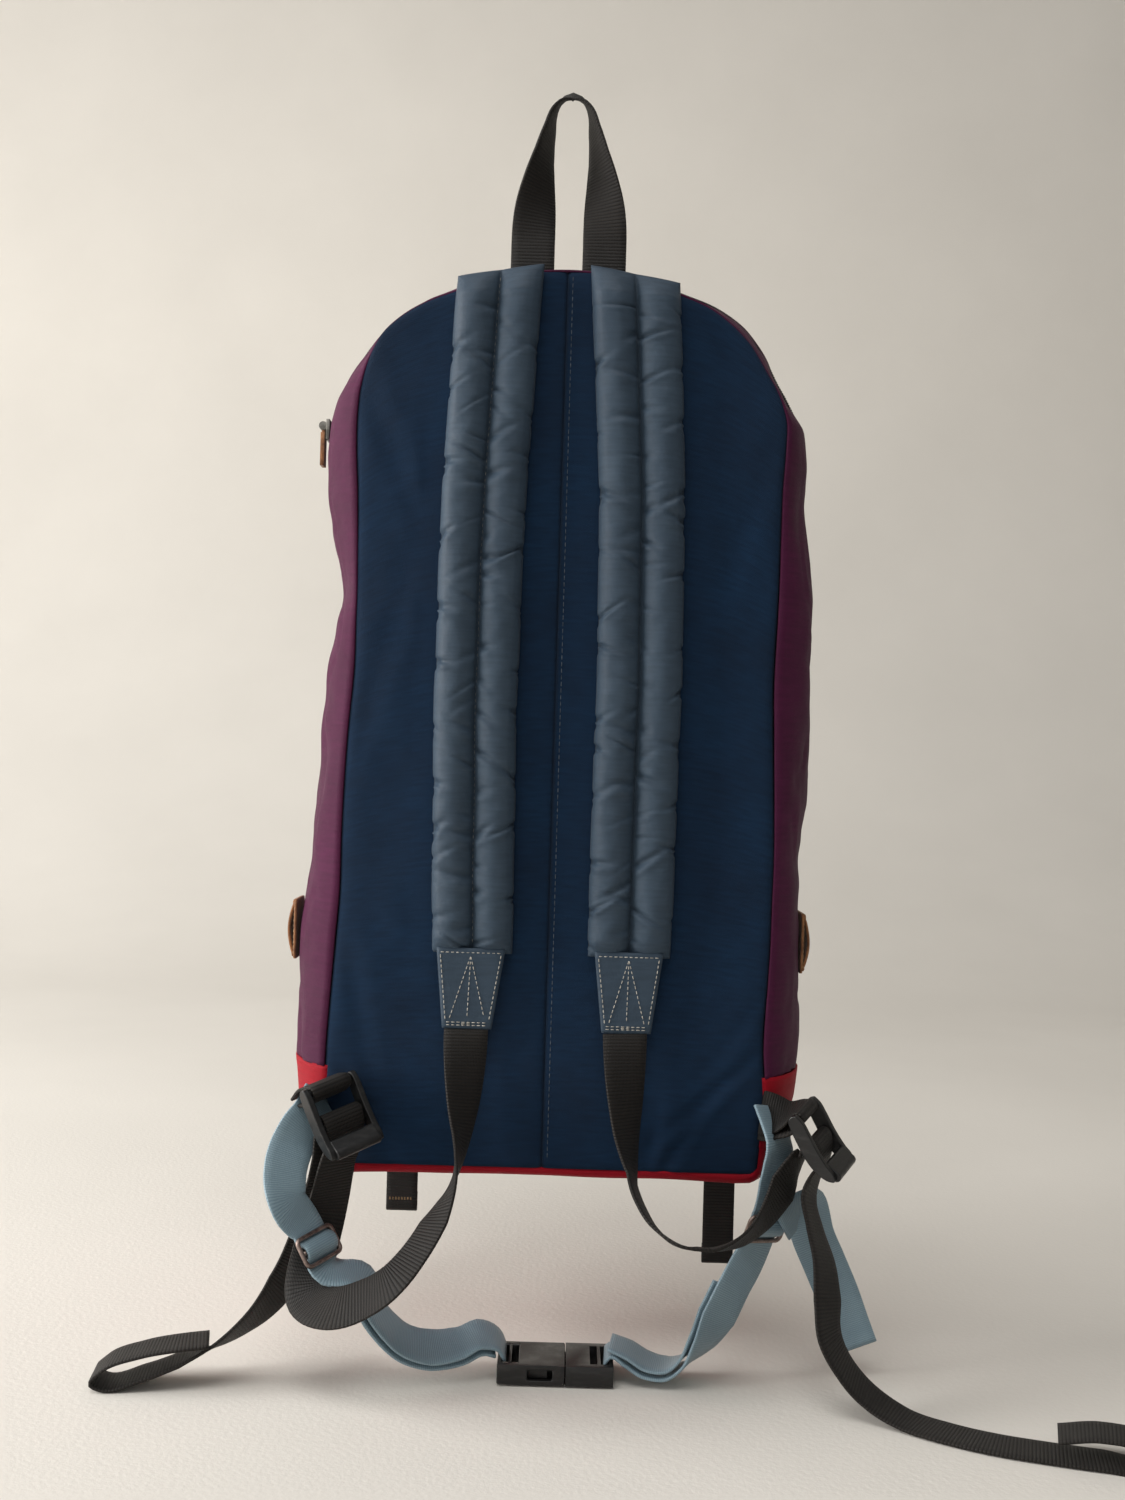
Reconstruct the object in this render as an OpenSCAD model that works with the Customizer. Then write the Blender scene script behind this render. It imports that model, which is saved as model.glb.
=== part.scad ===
// Daypack with two compartments, hanging from its haul loop.
// X runs across the pack, -Y is the harness side, +Z is up.
// The origin is the inside of the haul loop's top, where a hook or peg holds the pack.

/* [Pack body] */
// Height of the haul loop above the back panel
loop_h = 91; // [90:0.5:92]
// Half width of the back panel at the shoulders
back_half_w = 122; // [121:0.5:123]
// Radius of the back panel's top corners
corner_r = 70; // [66:1:72]
// How far the sides bulge beyond the back panel
bulge = 18; // [17.5:0.5:18.5]
// Depth from the back panel to the front panel
pack_depth = 140; // [138:1:141]
// Height of the pack body
pack_h = 521; // [519:1:522]
// Height of the bottom boot
boot_h = 61; // [56:1:64]
// Thickness of a fabric wall
wall = 1.6; // [1.2:0.1:1.8]

/* [Harness] */
// Width of the black and the grey-blue webbing
web_w = 25; // [20:1:26]
// Thickness of the webbing
web_t = 1.8; // [1.4:0.1:2]
// Width of a shoulder strap
strap_w = 49; // [46:1:50]
// Thickness of a shoulder strap at its padded channels
strap_t = 14; // [12:1:16]

/* [Small parts] */
// Length of a leather zip pull
pull_len = 20; // [16:1:22]
// Width of the lash straps under the boot
lash_w = 20; // [18:1:22]
// Length of the left lash strap
lash_len_left = 52; // [40:1:60]
// Length of the right lash strap
lash_len_right = 80; // [60:1:90]

/* [Hidden] */
$fn = 48;

top_z = -loop_h;
bottom_z = top_z - pack_h;
boot_top_z = bottom_z + boot_h;
fold_z = -215;
fold_gap = 0.5;
seam_gap = 0.4;

// three-centred arch of the pack's outline: a corner circle each side and a flatter top circle
spring_z = top_z - 87;
corner_x = back_half_w - corner_r;
arch_rise = top_z - spring_z;
crown_r = (corner_x * corner_x + arch_rise * arch_rise - corner_r * corner_r)
    / (2 * (arch_rise - corner_r));
crown_z = top_z - crown_r;
crown_angle = atan2(corner_x, crown_r - arch_rise);
corner_steps = 8;
crown_steps = 12;

// the body widens a little from the shoulders down to the boot
flare = 11;
flare_bottom_z = -550;
function flare_at(z) = flare * (spring_z - z) / (spring_z - flare_bottom_z);
function base_at(z) = back_half_w + 0.2 * flare_at(z);
function bulge_at(z) = bulge + 0.8 * flare_at(z);

rear_run = 32;
front_run = 28;
front_tuck = 8;
panel_t = 1.8;
main_zip_y = 48;
pocket_zip_y = 104;
coil_gap = 1.1;
tape_w = 8;
tape_lap = 3;
tape_t = 0.7;
tape_depth = wall + 0.3 + tape_t;
coil_w = 2;

// ---------- general functions and modules ----------

function unit(v) = v / norm(v);
function side_of(v, t) = unit(v - t * (v * t));
function last_of(list) = list[len(list) - 1];

// a solid through a list of rings of 3-D points, closed with a cap at each end;
// the two halves of a ring are cut along opposite diagonals, so that facing walls stay parallel
module loft(rings) {
    n = len(rings);
    m = len(rings[0]);
    points = [for (ring = rings) each ring];
    walls = [for (i = [0:n - 2], j = [0:m - 1])
        let (k = (j + 1) % m, a = i * m, b = a + m)
        each j < m / 2 ? [[a + j, b + j, b + k], [a + j, b + k, a + k]]
            : [[a + j, b + j, a + k], [b + j, b + k, a + k]]];
    caps = [[for (j = [0:m - 1]) j], [for (j = [m - 1:-1:0]) (n - 1) * m + j]];
    polyhedron(points, concat(walls, caps));
}

// a piece in its own frame: origin o, x axis along the bars, z axis up along the webbing
module placed(o, x_dir, up) {
    x = unit(x_dir);
    z = side_of(up, x);
    y = cross(z, x);
    multmatrix([[x[0], y[0], z[0], o[0]], [x[1], y[1], z[1], o[1]], [x[2], y[2], z[2], o[2]],
        [0, 0, 0, 1]])
        children();
}
function local(o, x_dir, up, y, z) =
    let (x = unit(x_dir), w = side_of(up, x), v = cross(w, x)) o + v * y + w * z;

// flat webbing swept along a route; each route point is its place and its width direction
function tangent(p, i) =
    i == 0 ? unit(p[1][0] - p[0][0])
    : i == len(p) - 1 ? unit(p[i][0] - p[i - 1][0])
    : let (u = p[i][0] - p[i - 1][0], v = p[i + 1][0] - p[i][0], r = norm(v) / norm(u))
        unit(u * r + v / r);
// a place between two route points, on a smooth curve through all of them
function between(p, i, f) =
    let (a = p[i][0], b = p[i + 1][0], d = norm(b - a), g = 1 - f)
    [a * g * g * (1 + 2 * f) + tangent(p, i) * d * g * g * f
        + b * f * f * (1 + 2 * g) - tangent(p, i + 1) * d * f * f * g,
        unit(p[i][1] * g + p[i + 1][1] * f)];
function smooth(p) = concat(
    [for (i = [0:len(p) - 2], f = [0, 0.5]) between(p, i, f)], [last_of(p)]);
function web_ring(c, across, up, w, t) =
    let (a = w / 2, b = t / 2, c1 = t / 4)
    [for (q = [[a - c1, -b], [a, -b + c1], [a, b - c1], [a - c1, b],
        [-a + c1, b], [-a, b - c1], [-a, -b + c1], [-a + c1, -b]])
        c + across * q[0] + up * q[1]];
module webbing(points, w = web_w, t = web_t) {
    route = smooth(points);
    loft([for (i = [0:len(route) - 1])
        let (d = tangent(route, i), across = side_of(route[i][1], d), up = cross(d, across))
        web_ring(route[i][0], across, up, w, t)]);
}

// ---------- pack body ----------

// stations of the arch, from the left fold up and over to the right fold:
// place on the back panel's outline, and outward direction
arch = concat(
    [[[-base_at(fold_z), fold_z + fold_gap], [-1, 0]]],
    [for (i = [0:corner_steps]) let (a = (90 - crown_angle) * i / corner_steps)
        [[-corner_x - corner_r * cos(a), spring_z + corner_r * sin(a)], [-cos(a), sin(a)]]],
    [for (i = [1:crown_steps - 1]) let (a = crown_angle * (2 * i / crown_steps - 1))
        [[crown_r * sin(a), crown_z + crown_r * cos(a)], [sin(a), cos(a)]]],
    [for (i = [corner_steps:-1:0]) let (a = (90 - crown_angle) * i / corner_steps)
        [[corner_x + corner_r * cos(a), spring_z + corner_r * sin(a)], [cos(a), sin(a)]]],
    [[[base_at(fold_z), fold_z + fold_gap], [1, 0]]]);

// a profile of [depth, outward] points carried round the arch
module round_arch(profile) {
    loft([for (s = arch) [for (q = profile)
        [s[0][0] + s[1][0] * q[1], q[0], s[0][1] + s[1][1] * q[1]]]]);
}

// the region inside the arch, grown by g, down to z_low
function arch_region(g, z_low) = concat(
    [for (s = arch) s[0] + s[1] * g],
    [[base_at(z_low) + g, z_low], [-base_at(z_low) - g, z_low]]);

// a flat plate lying across the pack, from depth y, thickness t
module across_pack(y, t) {
    translate([0, y + t, 0])
        rotate([90, 0, 0])
            linear_extrude(t)
                children();
}

rear_y = panel_t + 0.3;
function rear_curve(b, inset) = [for (a = [0:15:90])
    [rear_y + rear_run * (1 - cos(a)) + inset * cos(a), -1.5 + (b + 1.5) * sin(a) - inset * sin(a)]];
front_y = pack_depth - front_run;
front_depth = front_run - wall;
function front_curve(b, inset) = [for (a = [0:15:90])
    [front_y + (front_depth - inset) * sin(a), -front_tuck + (b + front_tuck - inset) * cos(a)]];
function backwards(list) = [for (i = [len(list) - 1:-1:0]) list[i]];

module back_panel_half(side) {
    color("#26415c")
        across_pack(0, panel_t)
            intersection() {
                polygon(arch_region(0, bottom_z + 5));
                translate([side > 0 ? seam_gap / 2 : -200, bottom_z])
                    square([200 - seam_gap / 2, pack_h + 20]);
            }
}
module back_panel_left() { back_panel_half(-1); }
module back_panel_right() { back_panel_half(1); }

module back_pad() {
    color("#c8c4b8")
        across_pack(panel_t + 0.4, 6)
            polygon(arch_region(-10, bottom_z + 12));
}

module back_lining() {
    color("#3a4a58")
        across_pack(panel_t + 6.8, 0.8)
            polygon(arch_region(-6, bottom_z + 10));
}

module rear_gusset() {
    color("#69325a")
        round_arch(concat(
            rear_curve(bulge, 0),
            [[main_zip_y - 5, bulge], [main_zip_y - 5, bulge - wall]],
            backwards(rear_curve(bulge, wall))));
}

module middle_gusset() {
    color("#69325a")
        round_arch([[main_zip_y + 5, bulge], [pocket_zip_y - 5, bulge],
            [pocket_zip_y - 5, bulge - wall], [main_zip_y + 5, bulge - wall]]);
}

module front_gusset() {
    color("#69325a")
        round_arch(concat(
            [[pocket_zip_y + 5, bulge]], front_curve(bulge, 0),
            backwards(front_curve(bulge, wall)), [[pocket_zip_y + 5, bulge - wall]]));
}

module front_panel_top() {
    color("#69325a")
        across_pack(pack_depth - wall + seam_gap, wall)
            polygon(arch_region(2, fold_z + fold_gap));
}

// half a zip: a tape under the gusset's edge with its coil standing beside the slider's post
module zip_tape(y, side) {
    low = bulge - tape_depth;
    profile = [[-tape_w, low], [-coil_gap, low], [-coil_gap, bulge - 0.2],
        [-coil_gap - coil_w, bulge - 0.2], [-coil_gap - coil_w, low + tape_t], [-tape_w, low + tape_t]];
    turned = [for (q = profile) [y + side * q[0], q[1]]];
    color("#2c2c30")
        round_arch(side > 0 ? backwards(turned) : turned);
}
module main_zip_rear_tape() { zip_tape(main_zip_y, 1); }
module main_zip_front_tape() { zip_tape(main_zip_y, -1); }
module pocket_zip_rear_tape() { zip_tape(pocket_zip_y, 1); }
module pocket_zip_front_tape() { zip_tape(pocket_zip_y, -1); }

side_stations = [for (i = [0:6]) fold_z - fold_gap + (boot_top_z + seam_gap - fold_z + fold_gap) * i / 6];
module side_panel(side) {
    rings = [for (z = side_stations) let (b = bulge_at(z))
        [for (q = concat(rear_curve(b, 0), front_curve(b, 0),
            backwards(front_curve(b, wall)), backwards(rear_curve(b, wall))))
            [side * (base_at(z) + q[1]), q[0], z]]];
    color("#69325a")
        loft(side > 0 ? rings : [for (r = rings) backwards(r)]);
}
module side_panel_left() { side_panel(-1); }
module side_panel_right() { side_panel(1); }

module front_panel() {
    top = fold_z - fold_gap;
    low = boot_top_z + seam_gap;
    color("#69325a")
        across_pack(pack_depth - wall + seam_gap, wall)
            polygon([[-base_at(top) - 2, top], [base_at(top) + 2, top],
                [base_at(low) + 2, low], [-base_at(low) - 2, low]]);
}

// plan of the boot, with the side panels' corners; the inner plan runs out through the back
boot_base = base_at(flare_bottom_z);
boot_bulge = bulge_at(flare_bottom_z);
boot_half_w = boot_base + boot_bulge;
function boot_side(inset) = concat(
    inset > 0 ? [[-1, -1.5 - inset]] : [],
    rear_curve(boot_bulge, inset), front_curve(boot_bulge, inset));
module boot_plan(inset) {
    polygon(concat(
        [for (q = boot_side(inset)) [boot_base + q[1], q[0]]],
        [for (q = backwards(boot_side(inset))) [-boot_base - q[1], q[0]]]));
}
module bottom_boot() {
    color("#aa0a23")
        translate([0, 0, bottom_z])
            difference() {
                linear_extrude(boot_h)
                    boot_plan(0);
                translate([0, 0, wall])
                    linear_extrude(boot_h)
                        boot_plan(wall);
            }
}

divider_y = 78;
divider_inset = wall + 2.6;
module divider_panel() {
    top = fold_z - fold_gap;
    low = bottom_z + wall + 1;
    color("#4a2a45")
        across_pack(divider_y, 1)
            polygon([[-base_at(top) - bulge_at(top) + divider_inset, top],
                [base_at(top) + bulge_at(top) - divider_inset, top],
                [boot_half_w - divider_inset, boot_top_z], [boot_half_w - divider_inset, low],
                [-boot_half_w + divider_inset, low], [-boot_half_w + divider_inset, boot_top_z]]);
}
module divider_top() {
    color("#4a2a45")
        across_pack(divider_y, 1)
            polygon(arch_region(bulge - divider_inset, fold_z + fold_gap));
}

// ---------- zip sliders and leather pulls ----------

// the left-hand set, built beside the arch's spring line at depth y
slider_l = 12;
slider_x = -(corner_x + corner_r + bulge);
plate_gap = 0.3;
plate_t = 2;
under_gap = 0.6;
under_t = 1.6;
pin_x = slider_x - plate_gap - plate_t - 2.2;
pin_z = spring_z + 2.5;
pin_r = 0.8;
module zip_slider(y) {
    color("#8c8a84") {
        // upper plate over both coils
        translate([slider_x - plate_gap - plate_t, y - 6, spring_z - slider_l / 2])
            cube([plate_t, 12, slider_l]);
        // post between the coils and the lower plate under the front tape
        translate([slider_x - plate_gap, y - 0.7, spring_z - 3])
            cube([plate_gap + tape_depth + under_gap + under_t, 1.4, 6]);
        translate([slider_x + tape_depth + under_gap, y - 0.7, spring_z - 5])
            cube([under_t, 6.7, 10]);
        // ears and pin that carry the pull
        for (e = [-3.4, 2.2])
            translate([pin_x, y + e, pin_z])
                rotate([-90, 0, 0])
                    cylinder(h = 1.2, r = 2.6);
        translate([pin_x, y - 3, pin_z])
            rotate([-90, 0, 0])
                cylinder(h = 6, r = pin_r);
    }
}
module zip_pull(y) {
    color("#8c5f3c")
        difference() {
            union() {
                translate([pin_x, y - 1.9, pin_z])
                    rotate([-90, 0, 0])
                        cylinder(h = 3.8, r = 1.9);
                translate([pin_x - 1, y - 1.9, pin_z - 4.5])
                    cube([2, 3.8, 4.5]);
                translate([pin_x - 1.2, y - 4.5, pin_z - 4 - pull_len])
                    cube([2.4, 9, pull_len]);
            }
            translate([pin_x, y - 3, pin_z])
                rotate([-90, 0, 0])
                    cylinder(h = 6, r = pin_r + 0.1);
        }
}
module main_zip_slider() { zip_slider(main_zip_y); }
module main_zip_pull() { zip_pull(main_zip_y); }
module pocket_zip_slider() { mirror([1, 0, 0]) zip_slider(pocket_zip_y); }
module pocket_zip_pull() { mirror([1, 0, 0]) zip_pull(pocket_zip_y); }

// ---------- leather lash patches on the sides ----------

patch_z = -477;
patch_y = 34;
patch_h = 36;
patch_w = 28;
patch_t = 1.5;
patch_slot = 4.6;
patch_foot = 5;
module lash_patch(side) {
    x0 = base_at(patch_z - patch_h / 2) + bulge_at(patch_z - patch_h / 2) + 0.3;
    color("#8c5f3c")
        mirror([side > 0 ? 0 : 1, 0, 0])
            translate([x0, patch_y, patch_z - patch_h / 2])
                difference() {
                    union() {
                        cube([patch_t, patch_w, patch_h]);
                        translate([0, 3, 0])
                            cube([patch_slot + 2 * patch_t, patch_w - 6, patch_h]);
                    }
                    translate([patch_t, -1, patch_foot])
                        cube([patch_slot, patch_w + 2, patch_h - 2 * patch_foot]);
                }
}
module lash_patch_left() { lash_patch(-1); }
module lash_patch_right() { lash_patch(1); }

// ---------- haul loop ----------

// left half of the loop from its sewn foot up to the crown, then the same mirrored
loop_half = [
    [[-20.5, 3, top_z + 5.5], [1, 0, 0]],
    [[-20.5, 3, -74], [1, 0, 0]],
    [[-20, 3, -60], [0.95, 0.3, 0]],
    [[-18, 3, -42], [0.7, 0.7, 0]],
    [[-16, 3, -26], [0.4, 0.9, 0]],
    [[-14, 3, -12], [0.2, 1, 0]],
    [[-11, 3, 0], [0.1, 0.95, 0.3]],
    [[-6, 3, 6], [0, 0.9, 0.45]]];
loop_route = concat(loop_half, [[[0, 3, 8.5], [0, 0.85, 0.5]]],
    [for (p = backwards(loop_half)) [[-p[0][0], p[0][1], p[0][2]], [-p[1][0], p[1][1], p[1][2]]]]);
module haul_loop() { color("#14120f") webbing(loop_route); }

// ---------- shoulder straps ----------

strap_top_z = top_z - 4;
strap_end_z = top_z - 390;
strap_lining_y = -2;
cover_t = 1;
strap_stations = [for (i = [0:9]) i / 9];
function strap_x(u) = 38 + 8 * sin(90 * min(1, 2 * u)) - u;
function strap_z(u) = strap_top_z + (strap_end_z - strap_top_z) * u;
// crown of the two channels across the strap, from -1 to 1
function channels(v) = 0.3 + 0.7 * sqrt(max(0, sin(180 * abs(v))));
function puff(u) = 0.75 + 0.25 * sin(180 * min(1, max(0, u)));
cover_steps = [-1, -0.85, -0.65, -0.5, -0.35, -0.15, 0, 0.15, 0.35, 0.5, 0.65, 0.85, 1];
cover_y = strap_lining_y - 0.3;
// front of the channels at station u, pushed in by drop
function front_of(x, half, drop, u, z, steps) =
    [for (v = steps) [x + v * half, cover_y + drop - (strap_t - 2) * puff(u) * channels(v), z]];
module strap_cover(side) {
    rings = [for (u = strap_stations)
        let (x = side * strap_x(u), z = strap_z(u), half = strap_w / 2, in = half - cover_t)
        concat([[x - half, cover_y, z]], front_of(x, half, 0, u, z, cover_steps),
            [[x + half, cover_y, z], [x + in, cover_y, z]],
            backwards(front_of(x, in, cover_t, u, z, cover_steps)), [[x - in, cover_y, z]])];
    color("#46555f") loft(rings);
}
module strap_cover_left() { strap_cover(-1); }
module strap_cover_right() { strap_cover(1); }

module strap_lining(side) {
    rings = [for (u = strap_stations) let (x = side * strap_x(u), z = strap_z(u), h = strap_w / 2)
        [for (q = [[-h, 0], [h, 0], [h, 1], [-h, 1]]) [x + q[0], strap_lining_y + q[1], z]]];
    color("#3c4952") loft(rings);
}
module strap_lining_left() { strap_lining(-1); }
module strap_lining_right() { strap_lining(1); }

// two foam strips under the channels
foam_steps = [0.2, 0.35, 0.5, 0.65, 0.8];
foam_drop = 2.4;
module strap_foam(side) {
    color("#d8d4c8")
        for (c = [-1, 1])
            loft([for (u = strap_stations)
                let (x = side * strap_x(u), z = strap_z(u) - (u == 0 ? 1 : u == 1 ? -1 : 0),
                    steps = c > 0 ? foam_steps : backwards(-foam_steps),
                    curve = front_of(x, strap_w / 2, foam_drop, u, z, steps))
                concat(curve, [[last_of(curve)[0], cover_y - 0.1, z],
                    [curve[0][0], cover_y - 0.1, z]])]);
}
module strap_foam_left() { strap_foam(-1); }
module strap_foam_right() { strap_foam(1); }

tab_top_w = 40;
tab_bottom_w = 28;
tab_z = strap_end_z - 0.5;
tab_low_z = strap_end_z - 44;
tab_y = -9.5;
tab_t = 3;
module strap_tab(side) {
    color("#46555f")
        translate([side * strap_x(1), 0, 0])
            across_pack(tab_y, tab_t)
                polygon([[-tab_top_w / 2, tab_z], [tab_top_w / 2, tab_z],
                    [tab_bottom_w / 2, tab_low_z], [-tab_bottom_w / 2, tab_low_z]]);
}
module strap_tab_left() { strap_tab(-1); }
module strap_tab_right() { strap_tab(1); }

// ---------- ladder-locks and their anchor loops ----------

bar_r = 2;
wrap_r = bar_r + 0.3 + web_t / 2;
lock_left = [[-120, -19, -558], [0.74, 0.63, 0.23], [-0.4, 0.2, 0.87]];
lock_right = [[147, -13, -566], [0.45, 0.87, 0.15], [-0.5, 0.1, 0.85]];
mid_bar = [1, -17];
rail_x = 13.8;
module ladder_lock(f) {
    color("#1c1c1c")
        placed(f[0], f[1], f[2]) {
            for (s = [-1, 1])
                translate([s > 0 ? rail_x : -rail_x - 3.6, -4, -38])
                    cube([3.6, 8.5, 41]);
            translate([-rail_x - 1, 0, 0])
                rotate([0, 90, 0])
                    cylinder(h = 2 * rail_x + 2, r = bar_r);
            translate([-rail_x - 1, mid_bar[0], mid_bar[1]])
                rotate([0, 90, 0])
                    cylinder(h = 2 * rail_x + 2, r = bar_r);
            translate([-rail_x - 1, -5, -37])
                cube([2 * rail_x + 2, 4, 9]);
        }
}
module ladder_lock_left() { ladder_lock(lock_left); }
module ladder_lock_right() { ladder_lock(lock_right); }

// a loop of webbing round the upper bar, its two ends going towards the pack's corner seam
function anchor_route(f, tail, seam) = concat(
    [[local(f[0], f[1], f[2], tail, 5.5), seam]],
    [for (a = [90:-30:-90]) [local(f[0], f[1], f[2], -wrap_r * cos(a), wrap_r * sin(a)), f[1]]],
    [[local(f[0], f[1], f[2], tail, -4.5), seam]]);
module anchor_tab_left() { color("#14120f") webbing(anchor_route(lock_left, 13, lock_left[1])); }
module anchor_tab_right() { color("#14120f") webbing(anchor_route(lock_right, 17, [0.85, 0.5, 0.05])); }

// ---------- free webbing, as places and width directions ----------

start_tab_z = tab_low_z - 0.6;
adjuster_left_free = [
    [[-45, -8, start_tab_z], [1, 0, 0]],
    [[-45, -10, -545], [0.9, 0.4, -0.05]],
    [[-45, -14, -565], [0.7, 0.7, -0.2]],
    [[-45.5, -20, -585], [0.3, 0.85, -0.4]],
    [[-47, -28, -598], [0, 0.8, -0.6]],
    [[-51, -40, -611], [-0.4, 0.75, -0.5]],
    [[-57, -50, -623], [-0.6, 0.75, -0.2]],
    [[-67, -60, -638], [-0.55, 0.8, 0]],
    [[-79, -66, -651], [-0.35, 0.85, 0.35]],
    [[-92, -62, -661], [0.1, 0.7, 0.7]],
    [[-109, -57, -668], [0.45, 0.5, 0.7]],
    [[-124, -43, -668], [0.8, 0.25, 0.5]],
    [[-125, -21, -650], [0.9, 0.4, 0.1]],
    [[-121, -12, -632], [0.85, 0.5, -0.1]],
    [[-117, -16, -614], [0.75, 0.65, -0.1]],
    [[-114, -20, -600], [0.7, 0.7, -0.05]]];
adjuster_right_free = [
    [[45, -8, start_tab_z], [1, 0, 0]],
    [[45.5, -11, -545], [0.95, 0.35, 0]],
    [[46.5, -14, -567], [0.75, 0.65, -0.05]],
    [[48, -18, -588], [0.5, 0.85, -0.25]],
    [[50.5, -26, -603], [0.25, 0.85, -0.5]],
    [[55, -36, -614], [0.35, 0.75, -0.55]],
    [[63, -46, -624], [0.3, 0.85, -0.45]],
    [[76, -52, -631], [0.05, 0.95, -0.3]],
    [[90, -50, -633], [-0.3, 0.95, -0.25]],
    [[103, -44, -632], [-0.3, 0.8, -0.5]],
    [[115, -37, -628], [-0.1, 0.7, -0.7]],
    [[126, -29, -619], [0.25, 0.65, -0.75]],
    [[135, -21, -607], [0.5, 0.5, -0.7]],
    [[141, -15, -598], [0.4, 0.7, -0.5]]];
tail_left_free = [
    [[-119, -13, -598], [0.7, 0.7, -0.05]],
    [[-122, -10, -613], [0.7, 0.7, -0.1]],
    [[-128, -4, -630], [0.65, 0.75, -0.2]],
    [[-134, -3, -649], [0.55, 0.75, -0.4]],
    [[-145, -12, -673], [0.45, 0.7, -0.6]],
    [[-161, -25, -690], [0.05, 0.85, -0.55]],
    [[-176, -30, -700], [-0.05, 0.95, -0.35]],
    [[-195, -33, -707.5], [-0.15, 1, -0.05]],
    [[-215, -36, -714.5], [-0.1, 1, 0]],
    [[-236, -38, -718.8], [-0.1, 1, 0]],
    [[-241, -38.5, -716], [-0.1, 1, 0]],
    [[-236, -38.5, -709.5], [-0.1, 1, 0]],
    [[-215, -37, -701], [-0.1, 1, 0]],
    [[-195, -35, -697.5], [-0.15, 1, 0]],
    [[-180, -32, -696.5], [-0.2, 1, 0]]];
tail_right_free = [
    [[154, -14, -602], [0.35, 0.9, -0.3]],
    [[150.5, -17, -612], [0.45, 0.85, -0.35]],
    [[153, -24, -627], [0.5, 0.8, -0.35]],
    [[157, -34, -643], [0.6, 0.75, -0.3]],
    [[158, -42, -661], [0.7, 0.7, -0.2]],
    [[159, -46, -679], [0.6, 0.8, 0]],
    [[167, -48, -695], [0.4, 0.9, 0.15]],
    [[180, -50, -709], [0.4, 0.9, 0.1]],
    [[197, -58, -717.5], [0.5, 0.85, 0]],
    [[217, -71, -719], [0.5, 0.85, 0]],
    [[240, -83, -719], [0.4, 0.9, 0]],
    [[264, -91, -719], [0.3, 0.95, 0]],
    [[290, -98, -719], [0.25, 0.95, 0]],
    [[314, -103, -718.9], [0.2, 0.95, 0]],
    [[319, -104, -715], [0.25, 0.95, 0]],
    [[312, -102, -709], [0.3, 0.95, 0]],
    [[290, -95, -706], [0.3, 0.95, 0]],
    [[270, -89, -710], [0.3, 0.95, 0]]];

// both strands at a lock, which meet over its middle bar: one goes down behind,
// the other in front of it, beside the lip
function lock_end(f, points) =
    [for (q = points) [local(f[0], f[1], f[2], q[0], q[1]), f[1]]];
wrap_back = [[13, -21], [9, -18.5], [5, -15.2], [mid_bar[0] + 0.1, mid_bar[1] + wrap_r]];
wrap_front = [[mid_bar[0] - 0.1, mid_bar[1] + wrap_r],
    [mid_bar[0] - wrap_r * cos(45), mid_bar[1] + wrap_r * sin(45)],
    [mid_bar[0] - wrap_r, mid_bar[1]], [-1.6, -20.5], [0.5, -24.5], [4, -29]];
adjuster_route_left = concat(adjuster_left_free, lock_end(lock_left, backwards(wrap_front)));
adjuster_route_right = concat(adjuster_right_free, lock_end(lock_right, wrap_back));
tail_route_left = concat(lock_end(lock_left, backwards(wrap_back)), tail_left_free);
tail_route_right = concat(lock_end(lock_right, wrap_front), tail_right_free);

module adjuster_left() { color("#14120f") webbing(adjuster_route_left); }
module adjuster_right() { color("#14120f") webbing(adjuster_route_right); }
module adjuster_tail_left() { color("#14120f") webbing(tail_route_left); }
module adjuster_tail_right() { color("#14120f") webbing(tail_route_right); }

// ---------- waist belt ----------

glide_left = [[-121, -32, -643], [0.5, 0.86, 0.1], [-0.5, 0.2, 0.85]];
glide_right = [[128, -7, -634], [0.8, 0.6, -0.15], [0.5, 0, 0.87]];
glide_offset = 1 + 0.3 + web_t / 2;
glide_weave = [[glide_offset, 11], [glide_offset, 6.5], [-glide_offset, 2],
    [-glide_offset, -2], [glide_offset, -6.5], [glide_offset, -11]];

belt_left_top = [
    [[-131, -8, -577], [0.8, 0.4, -0.4]],
    [[-136, -12, -583], [0.8, 0.4, -0.3]],
    [[-140, -17, -592], [0.8, 0.5, 0.3]],
    [[-142, -26, -605], [0.8, 0.6, 0.1]],
    [[-139, -34, -618], [0.65, 0.75, 0.1]]];
belt_left_low = [
    [[-97, -27, -662], [0.4, 0.9, 0]],
    [[-90, -29, -677], [0.3, 0.95, -0.1]],
    [[-82, -27, -688], [0.2, 0.95, 0.1]],
    [[-73, -23, -697], [0.1, 0.95, 0.3]],
    [[-59, -19, -702], [0, 0.9, 0.45]],
    [[-44, -15, -701], [0, 0.9, 0.4]],
    [[-31, -11, -697], [0, 0.95, 0.3]],
    [[-21.5, -8, -701], [0, 1, 0.1]],
    [[-17.5, -7.5, -708], [0, 1, 0]]];
belt_right_low = [
    [[39, -7.5, -708.5], [0, 1, 0]],
    [[43, -8, -704.5], [0.1, 1, 0]],
    [[51, -9, -708], [0.15, 1, 0.05]],
    [[62, -11, -713.5], [0.2, 1, 0.05]],
    [[74, -13, -714.5], [0.15, 1, 0]],
    [[85, -14, -709], [0.25, 0.95, -0.2]],
    [[94, -15, -698], [0.55, 0.8, -0.35]],
    [[102, -14.5, -683], [0.75, 0.5, -0.45]],
    [[110, -12, -667], [0.7, 0.5, -0.55]]];
belt_right_top = [
    [[133, -10, -606], [0.85, 0.55, -0.05]],
    [[134, -10, -594], [0.75, 0.65, 0]],
    [[133.5, -10, -583], [0.6, 0.8, 0.05]]];
belt_route_left = concat(belt_left_top, lock_end(glide_left, glide_weave), belt_left_low);
belt_route_right = concat(belt_right_low,
    backwards(lock_end(glide_right, glide_weave)), belt_right_top);

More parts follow.
